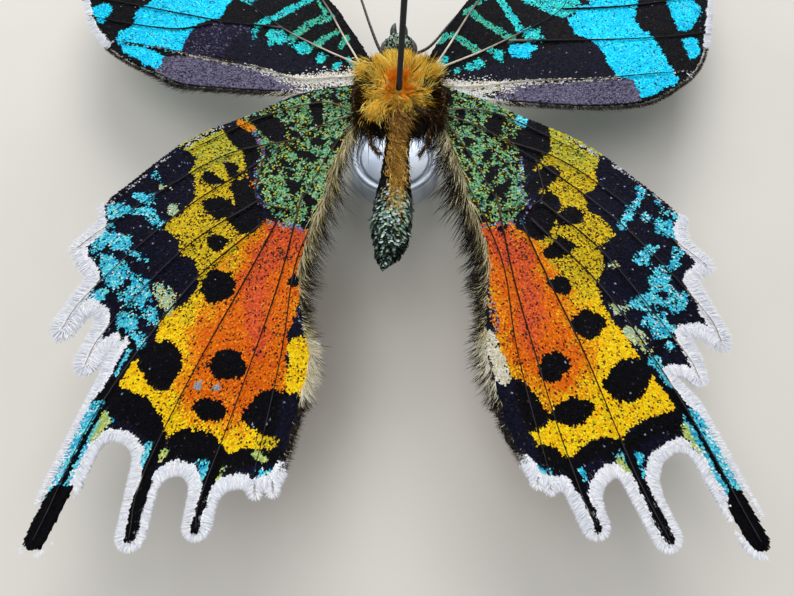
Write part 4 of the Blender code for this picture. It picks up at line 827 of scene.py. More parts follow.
def scale_material(name, roughness):
    """Scales or hair: the colour and the metal shine come from the piece's own attributes."""
    made, tree, shader = new_material(name)
    for stored, output, use in (("tint", "Color", "Base Color"), ("shine", "Fac", "Metallic")):
        node = tree.nodes.new("ShaderNodeAttribute")
        node.attribute_name = stored
        feed(tree, shader, {use: node.outputs[output]})
    feed(tree, shader, {"Roughness": roughness, "Specular IOR Level": 0.05})
    return made


def grained_material(name, codes, per_mm, roughness, metallic=0.0, stretch=(1, 1, 1), bump=0.0):
    """A surface whose shades and gloss drift with noise over Object coordinates."""
    made, tree, shader = new_material(name)
    here = tree.nodes.new("ShaderNodeTexCoord").outputs["Object"]
    mapping = feed(tree, tree.nodes.new("ShaderNodeMapping"), {"Vector": here, "Scale": stretch})
    pattern = {"Vector": mapping.outputs["Vector"], "Scale": per_mm / MM, "Detail": 4}
    noise = feed(tree, tree.nodes.new("ShaderNodeTexNoise"), pattern).outputs["Fac"]
    ramp = feed(tree, tree.nodes.new("ShaderNodeValToRGB"), {"Fac": noise})
    for element, code, position in zip(ramp.color_ramp.elements, codes, (0.35, 0.65)):
        element.position = position
        element.color = (*srgb(code), 1)
    drift = {"Value": noise, "To Min": roughness * 0.8, "To Max": min(1.0, roughness * 1.2)}
    gloss = feed(tree, tree.nodes.new("ShaderNodeMapRange"), drift)
    feed(tree, shader, {"Base Color": ramp.outputs["Color"], "Roughness": gloss.outputs["Result"],
                        "Metallic": metallic})
    if bump:
        relief = feed(tree, tree.nodes.new("ShaderNodeBump"), {"Height": noise, "Distance": bump * MM})
        feed(tree, shader, {"Normal": relief.outputs["Normal"]})
    return made


def scale_shape():
    """One scale, a unit long along X and a unit wide: a shield that narrows to its root."""
    points = [(0, 0.24, 0), (0, -0.24, 0), (0.88, -0.5, 0.03), (1.05, 0, 0), (0.88, 0.5, 0.03)]
    return points, [(0, 1, 2), (0, 2, 3), (0, 3, 4)]


def ribbon_shape(stations, bend=0.0, lift=0.0):
    """One hair, a unit long along X: a flat ribbon with a fine tip, bent aside in widths and lifted."""
    points = []
    for t in np.linspace(0, 1, stations + 1)[:-1]:
        wide = 0.5 * (0.75 + 0.5 * t - 0.9 * t * t)
        aside, up = bend * t * t, lift * math.sin(2.2 * t)
        points += [(t, aside + wide, up), (t, aside - wide, up + 0.02)]
    points.append((1.0, bend, lift * math.sin(2.2)))
    faces = [(2 * i, 2 * i + 1, 2 * i + 3, 2 * i + 2) for i in range(stations - 1)]
    return points, faces + [(2 * stations - 2, 2 * stations - 1, 2 * stations)]


def single_object(name, shape):
    """The repeated shape as an object, with its own flat place stored for the coat's map."""
    points, faces = shape
    mesh = bpy.data.meshes.new(name)
    mesh.from_pydata(points, [], faces)
    add_numbers(mesh, "own_place", [(x, y + 0.5) for x, y, _ in points], "FLOAT2")
    return bpy.data.objects.new(name, mesh)


def coat_tree(finish):
    """Sets the shape on every point along the point's lie and normal, realized, with its coat map."""
    tree = bpy.data.node_groups.new("coat", "GeometryNodeTree")
    tree.interface.new_socket("Geometry", in_out="INPUT", socket_type="NodeSocketGeometry")
    shape_in = tree.interface.new_socket("Shape", in_out="INPUT", socket_type="NodeSocketObject")
    patch_in = tree.interface.new_socket("Map patch", in_out="INPUT", socket_type="NodeSocketFloat")
    tree.interface.new_socket("Geometry", in_out="OUTPUT", socket_type="NodeSocketGeometry")
    nodes = tree.nodes
    start, end = nodes.new("NodeGroupInput"), nodes.new("NodeGroupOutput")

    def attribute(name):
        node = nodes.new("GeometryNodeInputNamedAttribute")
        node.data_type = "FLOAT_VECTOR"
        return feed(tree, node, {"Name": name}).outputs["Attribute"]

    info = feed(tree, nodes.new("GeometryNodeObjectInfo"), {"Object": start.outputs["Shape"]})
    turn = nodes.new("FunctionNodeAxesToRotation")
    turn.primary_axis = "Z"
    turn.secondary_axis = "X"
    feed(tree, turn, {"Primary Axis": attribute("normal_way"), "Secondary Axis": attribute("lie_way")})
    instances = feed(tree, nodes.new("GeometryNodeInstanceOnPoints"), {
        "Points": start.outputs["Geometry"], "Instance": info.outputs["Geometry"],
        "Rotation": turn.outputs["Rotation"], "Scale": attribute("measure"),
    })
    realized = nodes.new("GeometryNodeRealizeInstances")
    feed(tree, realized, {"Geometry": instances.outputs["Instances"]})
    patch = nodes.new("ShaderNodeVectorMath")
    patch.operation = "SCALE"
    feed(tree, patch, {0: attribute("own_place"), "Scale": start.outputs["Map patch"]})
    spot = nodes.new("ShaderNodeVectorMath")
    feed(tree, spot, {0: attribute("root_place"), 1: patch.outputs["Vector"]})
    store = nodes.new("GeometryNodeStoreNamedAttribute")
    store.data_type = "FLOAT2"
    store.domain = "CORNER"
    feed(tree, store, {
        "Name": "OFBake", "Geometry": realized.outputs["Geometry"], "Value": spot.outputs["Vector"],
    })
    paint = nodes.new("GeometryNodeSetMaterial")
    feed(tree, paint, {"Material": finish, "Geometry": store.outputs["Geometry"]})
    feed(tree, end, {"Geometry": paint.outputs["Geometry"]})
    return tree, shape_in.identifier, patch_in.identifier


def coat(name, points, normals, lies, measures, shades, places, finish, shape):
    """A coat piece: the shape repeated on every point to its length, width and depth, made a plain mesh."""
    mesh = bpy.data.meshes.new(name + "_roots")
    mesh.from_pydata((points * MM).tolist(), [], [])
    add_numbers(mesh, "normal_way", normals, "FLOAT_VECTOR")
    add_numbers(mesh, "lie_way", lies, "FLOAT_VECTOR")
    add_numbers(mesh, "measure", np.stack(measures, axis=1) * MM, "FLOAT_VECTOR")
    add_numbers(mesh, "root_place", np.column_stack([places, np.zeros(len(places))]), "FLOAT_VECTOR")
    add_numbers(mesh, "shine", shades[1])
    add_colour(mesh, "tint", shades[0])
    roots = linked(name + "_roots", mesh)
    single = single_object(name + "_unit", shape)
    tree, shape_id, patch_id = coat_tree(finish)
    modifier = roots.modifiers.new("coat", "NODES")
    modifier.node_group = tree
    modifier[shape_id] = single
    modifier[patch_id] = settings().map_patch
    made = evaluated_mesh(roots)
    made.name = name
    roots.modifiers.clear()
    for spare in ("normal_way", "lie_way", "measure", "root_place", "own_place"):
        if spare in made.attributes:
            made.attributes.remove(made.attributes[spare])
    obj = linked(name, made)
    for scrap in (roots, single):
        data = scrap.data
        bpy.data.objects.remove(scrap, do_unlink=True)
        bpy.data.meshes.remove(data)
    return obj


def settings():
    return bpy.context.scene.moth


def shade_mix(names, rng):
    """A shade for each point, drawn from the shades of its colour's name."""
    colours = np.zeros((len(names), 3))
    shine = np.zeros(len(names))
    for name in np.unique(names):
        at = np.nonzero(names == name)[0]
        shades = np.array([srgb(code) for code in SHADES[name]])
        pick = rng.integers(0, len(shades), len(at))
        colours[at] = shades[pick] * rng.uniform(0.85, 1.12, (len(at), 1))
        shine[at] = METALLIC.get(name, 0.0)
    return np.clip(colours, 0, 1), shine


class Wing:
    """One wing's flat shape: its edges, its fringe and its veins."""

    def __init__(self, kind, side):
        self.kind, self.side, self.level = kind, side, LEVEL[kind]
        costa, margin, inner = (hind_edges if kind == "hind" else fore_edges)(side)
        self.costa, self.margin, self.inner = as_array(costa), as_array(margin), as_array(inner)
        self.loop = np.concatenate([self.costa[:-1], self.margin[:-1], self.inner[:-1]])
        self.veins = [as_array(line) for line in (hind_veins if kind == "hind" else fore_veins)(side)]

    def from_fringe(self, flat):
        return distance(flat, self.margin)[0]

    def skin_loop(self):
        """The membrane's edge: the wing's edge drawn in by the fringe along the margin."""
        deep = settings().fringe_inset / MM
        loop = resample(np.vstack([self.loop, self.loop[:1]]), 0.3)[:-1]
        ahead, behind = np.roll(loop, -1, axis=0), np.roll(loop, 1, axis=0)
        along = ahead - behind
        along /= np.linalg.norm(along, axis=1)[:, None]
        area = np.sum(loop[:, 0] * ahead[:, 1] - ahead[:, 0] * loop[:, 1])
        inward = np.stack([-along[:, 1], along[:, 0]], axis=1) * np.sign(area)
        edge = self.from_fringe(loop)
        inset = deep + (BARE_EDGE - deep) * np.clip(edge / 1.5, 0, 1)
        moved = loop + inward * inset[:, None]
        clear = distance(moved, loop, closed=True)[0] > 0.93 * inset
        return moved[clear & inside(moved, loop)]

    def height(self, flat):
        """Half the membrane's thickness at each place, with a ridge along each vein."""
        near = np.min([distance(flat, line)[0] for line in self.veins], axis=0)
        sizes = settings()
        return (sizes.membrane / 2 + sizes.vein_rise * np.exp(-((near / RIDGE_WIDTH) ** 2))) / MM

    def lie(self, flat):
        """The way the scales point: out from the root, and along the tails."""
        way = flat - LIE_CENTRE[self.kind]
        return way / np.linalg.norm(way, axis=1)[:, None]


WINGS = {}


def wing_of(kind, side):
    """The wing's flat shape, worked out once."""
    key = (kind, side)
    if key not in WINGS:
        WINGS[key] = Wing(kind, side)
    return WINGS[key]


def hex_grid(loop, step):
    """Points inside a loop in rows, each row shifted by half a step against the last."""
    low, high = loop.min(axis=0), loop.max(axis=0)
    rows = int((high[1] - low[1]) / (step * ROW_SHARE)) + 1
    columns = int((high[0] - low[0]) / step) + 1
    row, column = np.mgrid[0:rows, 0:columns]
    x = low[0] + (column + 0.5 * (row % 2)) * step
    y = low[1] + row * step * ROW_SHARE
    grid = np.stack([x.ravel(), y.ravel()], axis=1)
    return grid[inside(grid, loop)]


def closed_smooth(points, step=0.35):
    """A smooth closed line through a few points."""
    ring = [*points[-2:], *points, *points[:2]]
    line = as_array(smooth_line(ring, step))
    away = np.linalg.norm(line - points[0], axis=1)
    first, last = np.argmin(away), len(line) - 1 - np.argmin(away[::-1])
    return line[first:last] if last > first else line


def within(flat, loop, soft):
    """Which places lie in a patch whose edge is moved in and out by soft."""
    reach = soft.max() + 0.01
    low, high = loop.min(axis=0) - reach, loop.max(axis=0) + reach
    near = np.nonzero(np.all((flat > low) & (flat < high), axis=1))[0]
    found = np.zeros(len(flat), bool)
    if len(near):
        spots = flat[near]
        depth = distance(spots, loop, closed=True)[0] * np.where(inside(spots, loop), -1, 1)
        found[near] = depth < soft[near]
    return found


def signed_depth(flat, ring):
    """How far each place lies inside a smooth ring, less than nothing outside it."""
    line = closed_smooth(ring)
    return distance(flat, line, closed=True)[0] * np.where(inside(flat, line), 1, -1)


def warm_names(flat, side, rng, grain):
    """Lemon at the costa, golden towards the tails, orange towards the body and red at its middle."""
    loose = (value_noise(flat, 1.1, 5) - 0.5) * 1.5 + rng.normal(0, 0.45, len(flat)) * grain
    depth = signed_depth(flat, ORANGE_FIELD[side]) + loose
    red = signed_depth(flat, RED_FIELD[side]) + 0.8 * loose
    light = -flat[:, 1] - 0.35 * flat[:, 0] + 2.0 * loose
    names = np.where(light < YELLOW_END, "yellow", "golden").astype("<U8")
    names[light < LEMON_END] = "lemon"
    names[depth > AMBER_DEPTH] = "amber"
    names[depth > ORANGE_DEPTH] = "orange"
    names[red > RED_DEPTH] = "red"
    return names


def speckle(names, flat, rng, grain):
    """Scales of other colours scattered through each field, gathered in some places."""
    if not grain:
        return names
    broad = 0.5 + value_noise(flat, 1.3, 9)
    fine = np.clip((value_noise(flat, 0.34, 12) - 0.3) / 0.4, 0, 1) * 2
    draw, other = rng.random(len(names)), rng.random(len(names))
    fields = names.copy()
    for field, share, gather, into in SPECKLES:
        at = (fields == field) & (draw < share * broad * (1 - gather + gather * fine))
        names[at] = np.array(into)[(other[at] * len(into)).astype(int)]
    return names


def rim_depth(kind, flat):
    """How deep the white or brown rim of the margin is at each place."""
    if kind == "fore":
        return np.where(flat[:, 1] > FORE_RIM_TURN, 0.7, 0.22)
    return np.where(flat[:, 1] < HIND_RIM_TURN, 0.95, 0.6)


def fold_names(names, side, flat, rng):
    """The pale fold of a forewing: white at the root, thinning to a line of scattered cream scales."""
    out = flat[:, 0]
    away = route_distance(flat, FORE_ROUTES[side][-1])
    behind = flat[:, 1] < np.interp(out, *FOLD_LINE[side])
    reach = np.interp(out, *FOLD_REACH) * np.where(behind, 1.0, 0.5)
    chance = np.exp(-((away / reach) ** 2)) * np.interp(out, *FOLD_CHANCE)
    draw = rng.random(len(flat))
    free = ~np.isin(names, ("blue", "teal", "jade")) | (out < 6)
    names[free & (draw < chance)] = "cream"
    names[free & (draw < 0.4 * chance)] = "white"
    return names


def marks(kind, side, face, flat, rng, grain):
    """The name of the colour at each place of a wing."""
    soft = (value_noise(flat, 0.9, 1) - 0.5) * 0.40 + (value_noise(flat, 0.35, 2) - 0.5) * 0.28
    soft = soft + rng.normal(0, 0.06, len(flat)) * grain
    names = np.full(len(flat), "navy" if kind == "hind" else "black", dtype="<U9")
    patches, strokes = (HIND_PATCHES, HIND_STROKES) if kind == "hind" else (FORE_PATCHES, FORE_STROKES)
    strokes = strokes[side] + (FORE_OUTER if kind == "fore" else ())
    rings = [(name, ring) for name, group in patches[side] for ring in group]
    for number, (name, ring) in enumerate(rings):
        if face == "back" and name == "black" and number % 3 == 0:
            continue
        at = within(flat, closed_smooth(ring), soft * RAGGED.get(name, 1.0))
        names[at] = warm_names(flat[at], side, rng, grain) if name == "warm" else name
    for name, width, route in strokes:
        at = route_distance(flat, route) < width / 2 + soft * 0.6
        names[at & (rng.random(len(flat)) < (0.55 if name in ("violet", "slate") else 1.0))] = name
    if kind == "fore":
        names = fold_names(names, side, flat, rng)
    if face == "back":
        names = np.array([BACK_NAMES.get(name, name) for name in names], dtype="<U8")
    names = speckle(names, flat, rng, grain)
    rim = wing_of(kind, side).from_fringe(flat) < rim_depth(kind, flat) + 0.6 * soft
    if kind == "fore":
        names[rim] = np.where(flat[rim, 1] > FORE_RIM_TURN + 2.0 * soft[rim], "white", "hairdark")
        return names
    names[rim] = "white"
    for name, width, route in TAIL_CORES[side]:
        at = route_distance(flat, route) < width / 2 + soft * 0.4
        names[at & (rng.random(len(flat)) < (0.8 if name in ("cyan", "lime") else 1.0))] = name
    names[within(flat, closed_smooth(HIND_CLUB[side]), soft)] = "black"
    return names


def wing_skin(kind, side, finish):
    """The membrane: two faces with veins raised on both, closed at the edge."""
    wing = wing_of(kind, side)
    loop = wing.skin_loop()
    inner = hex_grid(loop, settings().skin_step / MM)
    inner = inner[distance(inner, loop, closed=True)[0] > 0.2]
    points = [Vector(p) for p in np.vstack([loop, inner])]
    found, _, faces, _, _, _ = delaunay_2d_cdt(points, [], [list(range(len(loop)))], 1, 1e-4)
    flat = as_array(found)
    faces = np.array([f for f in faces if len(f) == 3])
    cross = np.cross(flat[faces[:, 1]] - flat[faces[:, 0]], flat[faces[:, 2]] - flat[faces[:, 0]])
    sign = -1 if side == "left" else 1
    flip = cross * sign < 0
    faces[flip] = faces[flip][:, ::-1]
    half = wing.height(flat)
    top, bottom = (place(flat, side, wing.level, way * half) for way in (1, -1))
    count = len(flat)
    edges = np.vstack([faces[:, [0, 1]], faces[:, [1, 2]], faces[:, [2, 0]]])
    key = np.sort(edges, axis=1)
    _, index, times = np.unique(key, axis=0, return_index=True, return_counts=True)
    rim = edges[index[times == 1]]
    walls = [(a, a + count, b + count, b) for a, b in rim.tolist()]
    all_faces = faces.tolist() + (faces[:, ::-1] + count).tolist() + walls
    mesh = bpy.data.meshes.new("wing_%s_%s_skin" % (kind, side))
    mesh.from_pydata((np.vstack([top, bottom]) * MM).tolist(), [], all_faces)
    mesh.materials.append(finish)
    mesh.shade_smooth()
    obj = linked(mesh.name, mesh)
    rng = np.random.default_rng(settings().seed)
    tints = [shade_mix(marks(kind, side, face, flat, rng, 0.0), rng) for face in FACES]
    add_colour(mesh, "tint", np.vstack([tints[0][0], tints[1][0]]) * 0.7)
    add_numbers(mesh, "shine", np.zeros(2 * count))
    return obj


def flat_map(flat, face):
    """The place on the wing's own map: the two faces lie side by side."""
    shift = 0.0 if face == "belly" else 0.5
    across = MAP_BORDER + shift + flat[:, 0] / FACE_SIZE[0] * FACE_SHARE[0]
    return np.stack([across, MAP_BORDER + (flat[:, 1] + FACE_REAR) / FACE_SIZE[1] * FACE_SHARE[1]], axis=1)


def wing_scales(kind, side, face, finish):
    """The scales of one face of a wing, in overlapping rows that point away from the root."""
    wing = wing_of(kind, side)
    sizes = settings()
    rng = np.random.default_rng(sizes.seed + 11 * FACES.index(face) + 3 * SIDES.index(side) + 1)
    loop = wing.skin_loop()
    wider = 1.0 if face == "belly" else sizes.back_spread
    step = sizes.scale_spacing / MM * wider
    flat = hex_grid(loop, step)
    flat = flat + rng.normal(0, 0.16 * step, flat.shape)
    way = 1 if face == "belly" else -1
    height = wing.height(flat) + SCALE_LIFT
    points = place(flat, side, wing.level, way * height)
    lie = wing.lie(flat)
    turn = rng.normal(0, 0.10, len(flat))
    lie = np.stack([lie[:, 0] * np.cos(turn) - lie[:, 1] * np.sin(turn),
                    lie[:, 0] * np.sin(turn) + lie[:, 1] * np.cos(turn)], axis=1)
    ahead = place(flat + lie * 0.3, side, wing.level, way * wing.height(flat)) - points
    ahead /= np.linalg.norm(ahead, axis=1)[:, None]
    up = np.zeros_like(ahead)
    up[:, 2] = way
    tilt = np.radians(rng.normal(9, 3, len(flat)))[:, None]
    roll = rng.normal(0, 0.10, (len(flat), 1))
    across = np.cross(up, ahead)
    lies = ahead * np.cos(tilt) + up * np.sin(tilt)
    normals = up * np.cos(tilt) - ahead * np.sin(tilt) + across * roll
    length = sizes.scale_length / MM * wider * rng.uniform(0.85, 1.2, len(flat))
    width = sizes.scale_width / MM * wider * rng.uniform(0.85, 1.15, len(flat))
    shades = shade_mix(marks(kind, side, face, flat, rng, 1.0), rng)
    return coat("wing_%s_%s_%s_scales" % (kind, side, face), points, normals, lies, (length, width, length),
                shades, flat_map(flat, face), finish, scale_shape())


def flat_coat(name, wing, flat, ways, rises, measures, names, rng, finish, shape, level):
    """Hairs of a wing: each starts at a place of the wing's plane and runs a way in it."""
    points = place(flat, wing.side, wing.level, level)
    ahead = place(flat + ways * 0.3, wing.side, wing.level, level) - points
    lies = unit(unit(ahead) + np.stack([np.zeros(len(flat)), np.zeros(len(flat)), rises], axis=1))
    normals = np.zeros_like(lies) + (0, 0, 1.0) + rng.normal(0, 0.25, lies.shape)
    normals = square_to(lies, normals)
    shades = shade_mix(names, rng)
    return coat(name, points, normals, lies, measures, shades, flat_map(flat, "belly"), finish, shape)


def overhang(kind, flat):
    """How far the fringe reaches past the margin."""
    if kind == "fore":
        return np.where(flat[:, 1] > FORE_RIM_TURN, 0.35, 0.25)
    return np.interp(flat[:, 1], *HIND_OVERHANG)


def wing_fringe(kind, side, face, finish):
    """The hairs of the margin's rim: each points to the nearest edge and a little past it."""
    wing = wing_of(kind, side)
    sizes = settings()
    rng = np.random.default_rng(sizes.seed + 80 + 5 * FACES.index(face) + SIDES.index(side) + 2 * len(kind))
    step = sizes.fringe_spacing / MM * (1.0 if face == "belly" else 1.35)
    flat = hex_grid(wing.loop, step)
    flat = flat[wing.from_fringe(flat) < RIM_REACH]
    flat = flat + rng.normal(0, 0.2 * step, flat.shape)
    names = marks(kind, side, face, flat, rng, 0.0)
    keep = np.isin(names, ("white", "hairdark")) & inside(flat, wing.loop) & (flat[:, 0] > 5)
    flat, names = flat[keep], names[keep]
    line = wing.margin
    edge, stretch = distance(flat, line)
    start, end = line[stretch], line[stretch + 1]
    along = end - start
    share = np.clip(np.sum((flat - start) * along, axis=1) / np.maximum(np.sum(along**2, axis=1), 1e-9), 0, 1)
    out = start + share[:, None] * along - flat
    out = out / np.maximum(np.linalg.norm(out, axis=1), 0.02)[:, None]
    ways = out + 0.22 * wing.lie(flat) + rng.normal(0, 0.16, flat.shape)
    ways /= np.linalg.norm(ways, axis=1)[:, None]
    length = edge + overhang(kind, flat) * rng.uniform(0.55, 1.15, len(flat))
    length = np.maximum(length, 0.3)
    width = sizes.fringe_width / MM * rng.uniform(0.7, 1.3, len(flat))
    side_up = 1 if face == "belly" else -1
    level = side_up * (wing.height(flat) * 0.9 + 0.03)
    rises = -side_up * 0.10 + rng.normal(0, 0.07, len(flat))
    measures = (length, width, 0.2 * length)
    return flat_coat("wing_%s_%s_%s_fringe" % (kind, side, face), wing, flat, ways, rises, measures,
                     names, rng, finish, ribbon_shape(2, 0.0, 0.25), level)


def edge_hairs(kind, side, finish):
    """Long hairs of the hindwing's inner edge, or fine ones under the forewing's rear edge."""
    wing = wing_of(kind, side)
    sizes = settings()
    rng = np.random.default_rng(sizes.seed + 120 + SIDES.index(side) + 2 * len(kind))
    hind = kind == "hind"
    count = sizes.edge_hair_count if hind else sizes.edge_hair_count // 7
    line = wing.inner if hind else wing.margin[wing.margin[:, 1] < 4.5]
    line = resample(line, 0.1)[::-1] if hind else resample(line, 0.1)
    at = rng.uniform(0, 1, count) ** (0.9 if hind else 1.0)
    index = np.minimum((at * (len(line) - 1)).astype(int), len(line) - 2)
    along = line[index + 1] - line[index]
    along /= np.linalg.norm(along, axis=1)[:, None]
    outward = np.stack([along[:, 1], -along[:, 0]], axis=1)
    outward *= -np.sign(outward[:, :1]) if hind else -np.sign(outward[:, 1:2])
    deep = rng.uniform(0, 0.6 if hind else 0.3, count)
    flat = line[index] - outward * deep[:, None]
    dark = rng.random(count)
    if hind:
        forward = flat[:, 1]
        pale = dark < np.interp(forward, *PALE_SHARE) * (1.0 if side == "left" else 0.75)
        names = np.where(pale, "hairpale", "hairdark").astype("<U8")
        names[(forward < -26) & (forward > -31) & pale] = "cream"
        lean = np.where(pale, rng.uniform(0.05, 0.5, count), rng.uniform(0.3, 1.1, count))
        lean = lean + 0.9 * (value_noise(np.stack([at * 60, np.zeros(count)], axis=1), 1.6, 3) - 0.5)
        length = np.interp(forward, *HAIR_LENGTH) * np.where(pale, 0.85, 1.15)
    else:
        names = np.where(flat[:, 0] < 9 + 4 * dark, "cream", "hairdark").astype("<U8")
        lean = rng.uniform(0.8, 1.8, count)
        length = np.interp(flat[:, 0], *REAR_LENGTH)
    ways = along + outward * lean[:, None] + rng.normal(0, 0.14, flat.shape)
    if not hind:
        inward = along * np.sign(along[:, :1])
        ways = inward * 0.8 + outward * lean[:, None] + rng.normal(0, 0.14, flat.shape)
    ways /= np.linalg.norm(ways, axis=1)[:, None]
    length = length * rng.uniform(0.35, 1.2, count)
    width = sizes.edge_hair_width / MM * rng.uniform(0.6, 1.3, count)
    rises = rng.normal(0.10, 0.16, count)
    turn = (1 if side == "left" else -1) * (1 if hind else -1)
    measures = (length, width, 0.5 * length)
    return flat_coat("wing_%s_%s_edge_hairs" % (kind, side), wing, flat, ways, rises, measures,
                     names, rng, finish, ribbon_shape(4, 9.0 * turn, 0.12), wing.height(flat) + 0.02)


def vein_shades(wing, flat):
    """Pale at the root of the forewing and over black, brown over green, dark over the warm field."""
    rng = np.random.default_rng(settings().seed)
    under = marks(wing.kind, wing.side, "belly", flat, rng, 0.0)
    shades = np.array([srgb(VEIN_CODES.get(name, VEIN_DARK)) for name in under])
    end, fade, code, share = VEIN_ROOT[wing.kind]
    pale = np.clip((end - np.linalg.norm(flat, axis=1)) / fade, 0, 1)[:, None]
    shades = shades * share * (1 - pale) + np.array(srgb(code)) * pale
    return shades * rng.uniform(0.7, 1.3, (len(flat), 1))


def wing_veins(kind, side, finish):
    """The veins as fine tubes half sunk in the scales, on both faces."""
    wing = wing_of(kind, side)
    bm = bmesh.new()
    spots = []
    for line in wing.veins:
        flat = resample(line, 0.45)
        run = np.linspace(0, 1, len(flat))
        radii = VEIN_RADIUS[kind] * (1 - 0.6 * run)
        for way in (1, -1):
            points = place(flat, side, wing.level, way * (wing.height(flat) + 0.045))
            loft_mesh(bm, tube_rings(points, radii, VEIN_SIDES))
            spots.append(np.repeat(flat, VEIN_SIDES, axis=0))
    obj = piece_from(bm, "wing_%s_%s_veins" % (kind, side), finish)
    spots = np.vstack(spots)
    add_colour(obj.data, "tint", vein_shades(wing, spots))
    add_numbers(obj.data, "shine", np.zeros(len(spots)))
    return obj


def mirrored(points, sign):
    """Points given for the right side, on the left one where the sign is -1."""
    return np.asarray(points, float) * (sign, 1, 1)


def on_body(points):
    """Points given about the body's line, moved to the line's place."""
    return np.asarray(points, float) + (BODY_X, 0, 0)


def ellipsoid_mesh(bm, centre, size, blunt=2.0, segments=40, rings=24):
    """A rounded box or ellipsoid added to the mesh."""
    made = bmesh.ops.create_uvsphere(bm, u_segments=segments, v_segments=rings, radius=1.0)
    for vert in made["verts"]:
        grown = sum(abs(part) ** blunt for part in vert.co) ** (1 / blunt)
        vert.co = Vector([c + s * p / grown for c, s, p in zip(centre, size, vert.co)])


def loft_mesh(bm, rings, tip=None):
    """Rings of points joined into a closed form, added to the mesh."""
    loops = [[bm.verts.new(point) for point in ring] for ring in rings]
    count = len(loops[0])
    faces = []
    for near, far in zip(loops, loops[1:]):
        for i in range(count):
            j = (i + 1) % count
            faces.append(bm.faces.new((near[i], near[j], far[j], far[i])))
    faces.append(bm.faces.new(loops[0][::-1]))
    if tip is None:
        faces.append(bm.faces.new(loops[-1]))
    else:
        end = bm.verts.new(tip)
        faces += [bm.faces.new((loops[-1][i], loops[-1][(i + 1) % count], end)) for i in range(count)]
    bmesh.ops.recalc_face_normals(bm, faces=faces)


def tube_rings(points, radii, sides):
    """Rings of a round limb along the points."""
    rings = []
    turns = [2 * math.pi * k / sides for k in range(sides)]
    for i, point in enumerate(points):
        along = Vector(points[min(i + 1, len(points) - 1)]) - Vector(points[max(i - 1, 0)])
        along.normalize()
        across = along.cross(Vector((0, 0, 1))).normalized()
        up = across.cross(along)
        middle, radius = Vector(point), radii[i]
        rings.append([middle + across * radius * math.cos(a) + up * radius * math.sin(a) for a in turns])
    return rings


def piece_from(bm, name, finish):
    """The mesh in millimetres becomes a smooth object in metres."""
    bmesh.ops.scale(bm, vec=(MM, MM, MM), verts=bm.verts)
    mesh = bpy.data.meshes.new(name)
    bm.to_mesh(mesh)
    bm.free()
    mesh.materials.append(finish)
    mesh.shade_smooth()
    return linked(name, mesh)


def abdomen_at(y):
    """The shift, height, half width and half depth of the abdomen along it."""
    rows = np.array(ABDOMEN)[::-1]
    return [np.interp(y, rows[:, 0], rows[:, k]) for k in (1, 2, 3, 4)]


def body_skin(finish):
    """Head, thorax and abdomen in one skin, inside the coat."""
    bm = bmesh.new()
    ellipsoid_mesh(bm, on_body(THORAX_CENTRE), [s * CORE_SHARE for s in THORAX_SIZE], THORAX_BLUNT)
    ellipsoid_mesh(bm, on_body(HEAD_CENTRE), [s * SKIN_SHARE for s in HEAD_SIZE])
    neck = [on_body((0, y, HEAD_CENTRE[2])) for y in (4.0, 5.5, 7.0)]
    loft_mesh(bm, tube_rings(neck, [NECK_RADIUS] * 3, 20))
    rings = []
    for y in np.linspace(ABDOMEN[0][0] + 1.5, ABDOMEN[-1][0], 40):
        shift, height, wide, deep = abdomen_at(y)
        groove = 1 - RING_DEPTH * max(0.0, math.sin(2 * math.pi * y / RING_LENGTH)) ** 6
        turns = [2 * math.pi * k / 24 for k in range(24)]
        centre = on_body((shift, y, height))
        wide, deep = wide * SKIN_SHARE * groove, deep * SKIN_SHARE * groove
        rings.append([centre + (wide * math.cos(a), 0, deep * math.sin(a)) for a in turns])
    loft_mesh(bm, rings, on_body(ABDOMEN_TIP))
    obj = piece_from(bm, "body_skin", finish)
    remesh = obj.modifiers.new("one skin", "REMESH")
    remesh.mode = "VOXEL"
    remesh.voxel_size = 0.16 * MM
    smooth = obj.modifiers.new("soft joins", "SMOOTH")
    smooth.iterations = 4
    made = evaluated_mesh(obj)
    obj.modifiers.clear()
    obj.data = made
    made.shade_smooth()
    obj.data.materials.clear()
    obj.data.materials.append(finish)
    spots = np.empty(len(obj.data.vertices) * 3, np.float32)
    obj.data.vertices.foreach_get("co", spots)
    spots = spots.reshape(-1, 3) / MM - (BODY_X, 0, 0)
    rng = np.random.default_rng(settings().seed)
    colours, _ = shade_mix(body_marks(spots, rng), rng)
    add_colour(obj.data, "tint", colours * 0.6)
    add_numbers(obj.data, "shine", np.zeros(len(spots)))
    return obj


def body_marks(spots, rng):
    """The name of the coat's colour at each place of the body, given about the body's line."""
    x, y, z = spots.T
    names = np.full(len(spots), "fur", dtype="<U8")
    loose = rng.normal(0, 0.35, len(spots))
    names[(np.abs(x) > 2.4 + loose) | (z < 10.2 + loose)] = "brown"
    names[y < -2.2 + loose] = "brown"
    rear = y < ABDOMEN_START
    shift, _, wide, _ = abdomen_at(y)
    off = np.abs(x - shift - 0.25) / wide
    names[rear] = "scaleblk"
    names[rear & (off < 0.5 + 0.4 * loose) & (y > -13.0 + loose)] = "tan"
    names[rear & (y < -10.5 + loose) & (y > -15.0 + 2 * loose) & (rng.random(len(spots)) < 0.6)] = "lichen"
    names[rear & (y < -15.0 + loose) & (rng.random(len(spots)) < 0.3)] = "lichen"
    names[y > HEAD_START] = "scaleblk"
    names[(y > HEAD_START) & (rng.random(len(spots)) < 0.55)] = "lichen"
    return names


def fibonacci(count):
    """Directions spread evenly over a ball."""
    i = np.arange(count)
    up = 1 - 2 * (i + 0.5) / count
    turn = i * GOLDEN_TURN
    wide = np.sqrt(1 - up * up)
    return np.stack([wide * np.cos(turn), wide * np.sin(turn), up], axis=1)


